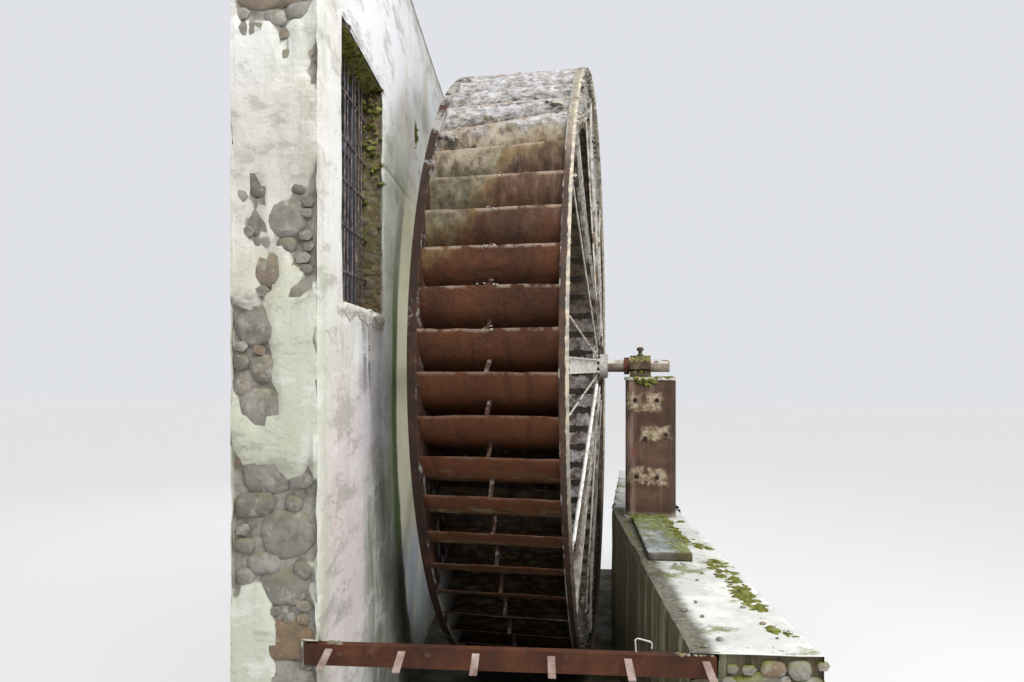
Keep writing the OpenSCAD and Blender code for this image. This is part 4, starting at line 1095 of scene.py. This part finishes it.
RIM_RIVETS = 152
rim_rivets, end_rivets, bolts = Pile(), Pile(), Pile()
for side in (1, -1):
    for k in range(RIM_RIVETS):
        spin = (k + 0.5) * 360 / RIM_RIVETS
        rim_rivets.put(RIVET, wheel_place(WHEEL_R - 0.036, spin, side, HALF_W + 0.007, 0.024, 0.011))
    for k in range(BUCKETS):
        for turn in (32, 47, 62, 77):
            px = BEND_U + (BEND_R - 0.03) * math.cos(math.radians(turn))
            py = BEND_V - (BEND_R - 0.03) * math.sin(math.radians(turn))
            spin = math.degrees(math.atan2(py, px) + LIP_ANGLE + k * PITCH)
            end_rivets.put(RIVET, wheel_place(math.hypot(px, py), spin, side, HALF_W, 0.02, 0.009))
    for i in range(ARMS):
        middle = (i + 0.5) * 360 / ARMS
        for off in (-0.125, -0.05, 0.05, 0.125):
            for r in (WHEEL_R - 0.17, WHEEL_R - 0.1):
                spin = middle + math.degrees(off / r)
                bolts.put(BOLT, wheel_place(r, spin, side, HALF_W + 0.008, 0.03, 0.018, off * 9))
        middle = i * 360 / ARMS
        for r, x in ((0.2, DISC_X), (0.285, DISC_X), (2.4, HALF_W), (2.5, HALF_W), (2.6, HALF_W)):
            for off in (-0.03, 0.03):
                spin = middle + math.degrees(off / r)
                bolts.put(BOLT, wheel_place(r, spin, side, x + 0.01, 0.032, 0.02, r * 3 + off * 9))
        for sign in (-1, 1):
            for r, lead, x in ((0.303, 16.7, DISC_X), (2.377, 9, HALF_W)):
                bolts.put(BOLT, wheel_place(r, middle + sign * lead, side, x + 0.02, 0.034, 0.02, i))
rim_rivets.show("rim_rivets", "wheel", "rim_steel", FINISH["shroud_steel"])
end_rivets.show("bucket_end_rivets", "wheel", "shroud_steel", FINISH["shroud_steel"])
bolts.show("wheel_bolts", "wheel", "arm_steel", DARK_IRON)


# Crust on the lips and the rim of the wheel, and painted shade over the slots of its sole
def lip_point(index, x, r=WHEEL_R, ahead=0.0):
    """Point near a lip of the ring after its bending."""
    p = on_wheel(r, math.degrees(LIP_ANGLE + index * PITCH) + ahead, x)
    return p + lip_bend(p)


LIP_STEPS = 48
crust = Pile()
for index in range(-12, 17):
    top = math.exp(-((index - 10) / 4.2) ** 4)
    low = 0.35 * math.exp(-((index + 11) / 2.0) ** 2)
    torn = 3 <= index <= 6
    full = max(top, low, 0.28 if torn else 0.0)
    if full < 0.2:
        continue
    path, radii = [], []
    for j in range(LIP_STEPS + 1):
        x = LIP_HALF * (2 * j / LIP_STEPS - 1)
        cover = 0.5 + 0.9 * cloud(Vector((x * 4.2, index * 3.3, 8.8)), 4) - (1 - full) * 0.75
        if torn:
            cover -= 1.1 * max(0.0, x + 0.42)
        size = 0.004 + max(0.0, min(cover, 1.0)) * (0.007 + 0.012 * full)
        size *= 1 + 0.5 * ripple(x * 40, index * 2.2, 4.4)
        path.append(lip_point(index, x, WHEEL_R - 0.012 - size * 0.3, -0.12))
        radii.append(max(size, 0.0035))
    crust.put(tube(path, radii, 7))
crust.strew(
    (CRUMBS, 420, 21, lambda pick: lip_point(
        pick.choice((7, 7, 8, 8, 9, 10, 11, 12, 13)), pick.uniform(-0.46, 0.46), WHEEL_R - inset(pick, 0.03) - 0.01,
        pick.gauss(0, 0.3)), 0.014, 0.05, 0.7),
    (CRUMBS, 130, 22, lambda pick: lip_point(
        pick.choice((-12, -11, -10, -9)), pick.uniform(-0.44, 0.44), WHEEL_R - 0.01,
        pick.gauss(0, 0.1)), 0.008, 0.026, 0.8))
crust.show("lip_crust", "wheel", "bucket_steel", FINISH["bucket_steel"])

rim_crust = Pile().strew(
    (LUMPS, 150, 23, lambda pick: on_wheel(
        WHEEL_R - 0.012 - inset(pick, 0.012), pick.uniform(34, 100), RIM_X - 0.01 - inset(pick, 0.014)),
        0.018, 0.055, 0.8),
    (CRUMBS, 190, 24, lambda pick: on_wheel(
        WHEEL_R - 0.012, pick.uniform(-60, 40), RIM_X - 0.006 - inset(pick, 0.008)), 0.008, 0.024, 0.8),
    (LUMPS, 90, 25, lambda pick: on_wheel(
        pick.uniform(2.36, 2.76), pick.uniform(35, 100), HALF_W + 0.004), 0.02, 0.06, 0.5),
    (LUMPS, 60, 28, lambda pick: on_wheel(
        WHEEL_R - 0.016 - inset(pick, 0.014), pick.uniform(62, 104), 0.01 - RIM_X + inset(pick, 0.03)),
        0.022, 0.06, 0.8))
rim_crust.show("rim_crust_lumps", "wheel", "rim_steel", STRAW_CRUST)

moss = Pile().strew(
    (CRUMBS, 120, 26, lambda pick: on_wheel(
        WHEEL_R - 0.015, pick.uniform(38, 96), -RIM_X + 0.02 + inset(pick, 0.03)), 0.014, 0.05, 0.8),
    (CRUMBS, 70, 27, lambda pick: lip_point(
        pick.choice((5, 6, 7, 8, 9)), pick.uniform(0.3, 0.46), WHEEL_R - inset(pick, 0.04) - 0.01, 0.1),
        0.012, 0.04, 0.7))
moss.show("wheel_moss", "wheel", "bucket_steel", FINISH["shroud_steel"])

# White crusts in two bent buckets: angle, x and size
WHITE_AT = ((37.6, -0.38, 0.06), (37.9, -0.34, 0.035), (38.4, -0.42, 0.04), (46.3, 0.37, 0.055),
            (46.9, 0.31, 0.04), (45.6, 0.42, 0.035), (43.0, -0.1, 0.03))
pale = Pile()
for k, (degrees, x, size) in enumerate(WHITE_AT):
    place = on_wheel(WHEEL_R - 0.015, degrees, x)
    pale.put(LUMPS[k % 6], frame_at(place, (1, k - 3, 2), Z_AXIS, (size * 1.4, size, size * 0.8)))
for index in range(1, 6):
    at = lip_point(index, 0.0, WHEEL_R - 0.02)
    pale.strew((LUMPS, 7, 30 + index, lambda pick: at + Vector((
        pick.gauss(0, 0.03), pick.gauss(0, 0.01), pick.gauss(0.006, 0.01))), 0.01, 0.024, 0.7))
pale.show("wheel_pale_stones", "wheel", "bucket_steel", GREY_LIME)

# Dark strips over the gaps in the sole: painted shade of the gaps
SLOT_STEPS = 33
strips = Pile()
for index in range(BUCKETS):
    start = math.degrees(LIP_ANGLE + SOLE_TURN + index * PITCH) + 3.6
    outer, inner = [], []
    for j in range(SLOT_STEPS + 1):
        x = SLOT_HALF * (2 * j / SLOT_STEPS - 1)
        low = start - 0.3 + 0.25 * ripple(x * 7, index * 1.9, 0.3)
        gap = max(0.0, cloud(Vector((x * 6, index * 2.7, 5.3))) - 0.12)
        high = start + 2.25 - min(0.6 * gap, 0.3)
        spans = (low, (low + high) / 2, high)
        outer.append([on_wheel(RING_R - 0.0015, a, x) for a in spans])
        inner.append([on_wheel(RING_R - 0.0055 - 0.002 * abs(ripple(x * 30, a, 1)), a, x) for a in spans])
    strips.put(shell(outer, inner))
strips.show("sole_slot_painted_shade", "wheel", "sole_steel", SOLE_SLOT_SHADE)

# Lime sleeve on one tie rod, near-white so that it is partly a painted highlight of sunlight on the rod
sleeve = Pile()
rod_from, rod_to = Vector((0.6, -0.267, AXLE_Z - 0.144)), Vector((0.5, -1.923, AXLE_Z - 1.397))
path = [rod_from.lerp(rod_to, 0.03 + 0.94 * i / 60) for i in range(61)]
sleeve.put(tube(path, [0.0145 + 0.005 * abs(noise.noise(p * 9)) + 0.003 * noise.noise(p * 40) for p in path], 10))
sleeve.show("rod_sleeve_lime_and_highlight", "wheel", "rod_steel", ROD_LIME_AND_HIGHLIGHT)

# Bolts, oil cups and moss of the bearings
iron = Pile()
for node in ("outer_bearing", "inner_bearing"):
    x0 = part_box(node + "_cap")[0].x
    foot_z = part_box(node + "_base")[0].z + 0.034
    for x in (x0 + 0.05, x0 + 0.15):
        for y, z in ((0.121, AXLE_Z + 0.03), (0.166, foot_z)):
            for sign in (-1, 1):
                iron.put(BOLT, frame_at((x, sign * y, z), (1, 0.4, 0), Z_AXIS, (0.036, 0.036, 0.028)))
    iron.put(CUP, Matrix.Translation((x0 + 0.1, 0, AXLE_Z + 0.095)))
iron.show("bearing_bolts", "root", "bearing_iron", FINISH["bearing_iron"])

lime = Pile()
for k, (x, z, wide, high) in enumerate(PATCHES):
    pick = random.Random(50 + k)
    for _ in range(7):
        at = (x + pick.gauss(0, wide * 0.22), PIER_Y + 0.001, z + pick.gauss(0, high * 0.22))
        size = (wide * pick.uniform(0.16, 0.34), high * pick.uniform(0.16, 0.34), pick.uniform(0.005, 0.01))
        lime.put(pick.choice(LUMPS), frame_at(at, X_AXIS, -Y_AXIS, size, pick.uniform(-0.5, 0.5)))
lime.show("pier_lime_patches", "root", "pier_steel", FINISH["pier_steel"])
iron = Pile()
for x, z in ((0.96, 2.635), (1.163, 2.635), (1.055, 2.27), (1.245, 2.31), (0.975, 1.905), (1.163, 1.9)):
    iron.put(BOLT, frame_at((x, PIER_Y - 0.004, z), (1, 0, 0.3), -Y_AXIS, (0.044, 0.044, 0.026)))
iron.show("pier_bolts", "root", "pier_steel", DARK_IRON)

CAP_LO, CAP_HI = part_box("pier_cap_plate")
bear_lo, bear_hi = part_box("outer_bearing_base")
moss = Pile().strew(
    (LUMPS, 34, 61, lambda pick: (
        min(max(pick.gauss(1.07, 0.07), CAP_LO.x + 0.05), CAP_HI.x - 0.05), CAP_LO.y + 0.006,
        CAP_HI.z - 0.012 - inset(pick, 0.03)), 0.018, 0.05, 0.8),
    (LUMPS, 40, 62, lambda pick: (
        pick.uniform(CAP_LO.x + 0.04, CAP_HI.x - 0.04),
        pick.choice((CAP_LO.y + 0.02, -0.2, -0.22)) + pick.gauss(0, 0.012), CAP_HI.z), 0.018, 0.05, 0.6),
    (LUMPS, 34, 63, lambda pick: (
        pick.uniform(bear_lo.x + 0.01, bear_hi.x - 0.01), pick.uniform(-0.14, -0.1),
        AXLE_Z - 0.075 + pick.gauss(0, 0.012)), 0.018, 0.05, 0.7),
    (CRUMBS, 40, 64, lambda pick: (
        pick.uniform(bear_lo.x + 0.01, bear_hi.x - 0.01), pick.gauss(0, 0.03), AXLE_Z + 0.098), 0.012, 0.03, 0.5))
moss.show("pier_moss", "root", "pier_plate", MOSS_SKIN)


# Moss, stones and scraps on the outer wall of the race
def within(x0, x1, y0, y1, z):
    """Way to draw a place in a level rectangle."""
    return lambda pick: Vector((pick.uniform(x0, x1), pick.uniform(y0, y1), z))


def mossy_place(pick):
    """Draws places on the wall's top until one falls where the moss grows."""
    for _ in range(60):
        p = within(SLAB_HI.x + 0.04, PIT_OUT - 0.08, PIT_LO.y + 0.15, PIT_BEND, PIT_TOP - 0.01)(pick)
        if cloud(p * 1.9 + Vector((3, 8, 0)), 4) > 0.12:
            break
    return p


slab_top = SLAB_HI.z - 0.004
by_slab = within(PIT_LO.x + 0.04, SLAB_LO.x + 0.01, SLAB_LO.y, SLAB_HI.y, PIT_TOP - 0.008)
slab_side = within(SLAB_HI.x - 0.07, SLAB_HI.x - 0.01, SLAB_LO.y + 0.4, SLAB_HI.y - 0.02, slab_top)
slab_end = within(SLAB_LO.x + 0.04, SLAB_HI.x - 0.03, SLAB_HI.y - 0.2, SLAB_HI.y - 0.02, slab_top)
ledge_moss = Pile(BUILDING).strew(
    (LUMPS, 230, 71, mossy_place, 0.025, 0.08, 0.4), (LUMPS, 60, 72, by_slab, 0.02, 0.06, 0.4),
    (LUMPS, 80, 73, slab_side, 0.02, 0.055, 0.4), (LUMPS, 40, 74, slab_end, 0.02, 0.06, 0.4))
ledge_moss.show("ledge_moss", "root", "race_stone", MOSS_SKIN)

on_top = within(PIT_LO.x + 0.05, PIT_OUT - 0.1, PIT_LO.y + 0.1, PIT_BEND, PIT_TOP)
beam_left = within(WALL_X + 0.03, WALL_X + 0.14, PIT_LO.y + 0.015, PIT_LO.y + 0.045, BEAM_TOP)
beam_right = within(PIT_LO.x - 0.06, PIT_LO.x + 0.12, PIT_LO.y + 0.012, PIT_LO.y + 0.045, BEAM_TOP)
scraps = Pile(BUILDING).strew(
    (PEBBLES, 34, 75, on_top, 0.014, 0.045, 0.7), (PEBBLES, 16, 76, beam_left, 0.016, 0.04, 0.7),
    (PEBBLES, 26, 77, beam_right, 0.014, 0.036, 0.7))
scraps.show("ledge_pebbles", "root", "race_stone", STONES)

wire = Pile(BUILDING)
bends = ((0.478, -0.004), (0.476, 0.03), (0.474, 0.062), (0.486, 0.07),
         (0.52, 0.062), (0.552, 0.054), (0.56, 0.04), (0.556, 0.02))
wire.put(tube([(x, PIT_LO.y + 0.042, BEAM_TOP + up) for x, up in bends], 0.0042))
wire.show("beam_wire", "root", "strap_steel", WHITE_LIME)

# Camera at the photograph's place, with a longer lens on the same view
PHOTO_WIDTH = 1024
PHOTO_F = 448
PHOTO_HORIZON = 316
VIEW_CENTRE = (540, 301)
ZOOM = 1.75
VIEW_TURN = math.radians(12.7)
cam_data = bpy.data.cameras.new("view")
cam_data.sensor_width = 36
cam_data.lens = 36 * PHOTO_F * ZOOM / PHOTO_WIDTH
cam_data.shift_x = (VIEW_CENTRE[0] - PHOTO_WIDTH / 2) * ZOOM / PHOTO_WIDTH
cam_data.shift_y = (PHOTO_HORIZON - VIEW_CENTRE[1]) * ZOOM / PHOTO_WIDTH
camera = bpy.data.objects.new("view", cam_data)
camera.location = (1.0, -7.93, AXLE_Z - 0.013)
camera.rotation_euler = (math.pi / 2, 0, VIEW_TURN)
bpy.context.scene.collection.objects.link(camera)
bpy.context.scene.camera = camera

# Pale floor, which is brighter where the view meets it than where light does
FLOOR = 60
floor_mesh = bpy.data.meshes.new("floor")
corners = [(x * FLOOR, y * FLOOR, 0) for x, y in ((-1, -1), (1, -1), (1, 1), (-1, 1))]
floor_mesh.from_pydata(corners, [], [(0, 1, 2, 3)])
floor = bpy.data.objects.new("floor", floor_mesh)
bpy.context.scene.collection.objects.link(floor)
f = Finish("pale_floor")
rays = f.add("ShaderNodeLightPath").outputs
seen = f.most(rays["Is Camera Ray"], rays["Is Glossy Ray"])
f.colour = f.mix(seen, (228, 228, 225), (154, 154, 153))
floor_mesh.materials.append(f.finish(0.9, specular=0.1))
f.feed(f.shader.inputs["Emission Strength"], f.times(seen, 0.55))
f.feed(f.shader.inputs["Emission Color"], (255, 255, 255))

# Soft light, a little stronger where the view meets the sky
world = bpy.data.worlds.new("studio")
bpy.context.scene.world = world
world.use_nodes = True
tree = world.node_tree
background = tree.nodes["Background"]
background.inputs["Color"].default_value = (0.93, 0.95, 1.0, 1.0)
rays = tree.nodes.new("ShaderNodeLightPath").outputs
seen = tree.nodes.new("ShaderNodeMath")
seen.operation = "MAXIMUM"
tree.links.new(rays["Is Camera Ray"], seen.inputs[0])
tree.links.new(rays["Is Glossy Ray"], seen.inputs[1])
level = tree.nodes.new("ShaderNodeMapRange")
tree.links.new(seen.outputs[0], level.inputs[0])
level.inputs["To Min"].default_value = 0.62
level.inputs["To Max"].default_value = 0.8
tree.links.new(level.outputs[0], background.inputs["Strength"])


def lamp(name, place, target, size, power, colour):
    data = bpy.data.lights.new(name, "AREA")
    data.size = size
    data.energy = power
    data.color = colour
    obj = bpy.data.objects.new(name, data)
    obj.location = place
    obj.rotation_euler = (Vector(target) - Vector(place)).to_track_quat("-Z", "Y").to_euler()
    bpy.context.scene.collection.objects.link(obj)


lamp("key", (3.5, -7.5, 10.0), (0, 0, AXLE_Z), 6.0, 900, (1.0, 0.98, 0.95))
lamp("fill", (6.5, -3.0, 5.0), (0, 0, AXLE_Z - 0.5), 5.0, 260, (0.95, 0.97, 1.0))
lamp("back", (-6.0, 8.0, 9.0), (0, 1, AXLE_Z), 6.0, 420, (0.95, 0.97, 1.0))

bpy.context.scene.view_settings.view_transform = "Standard"
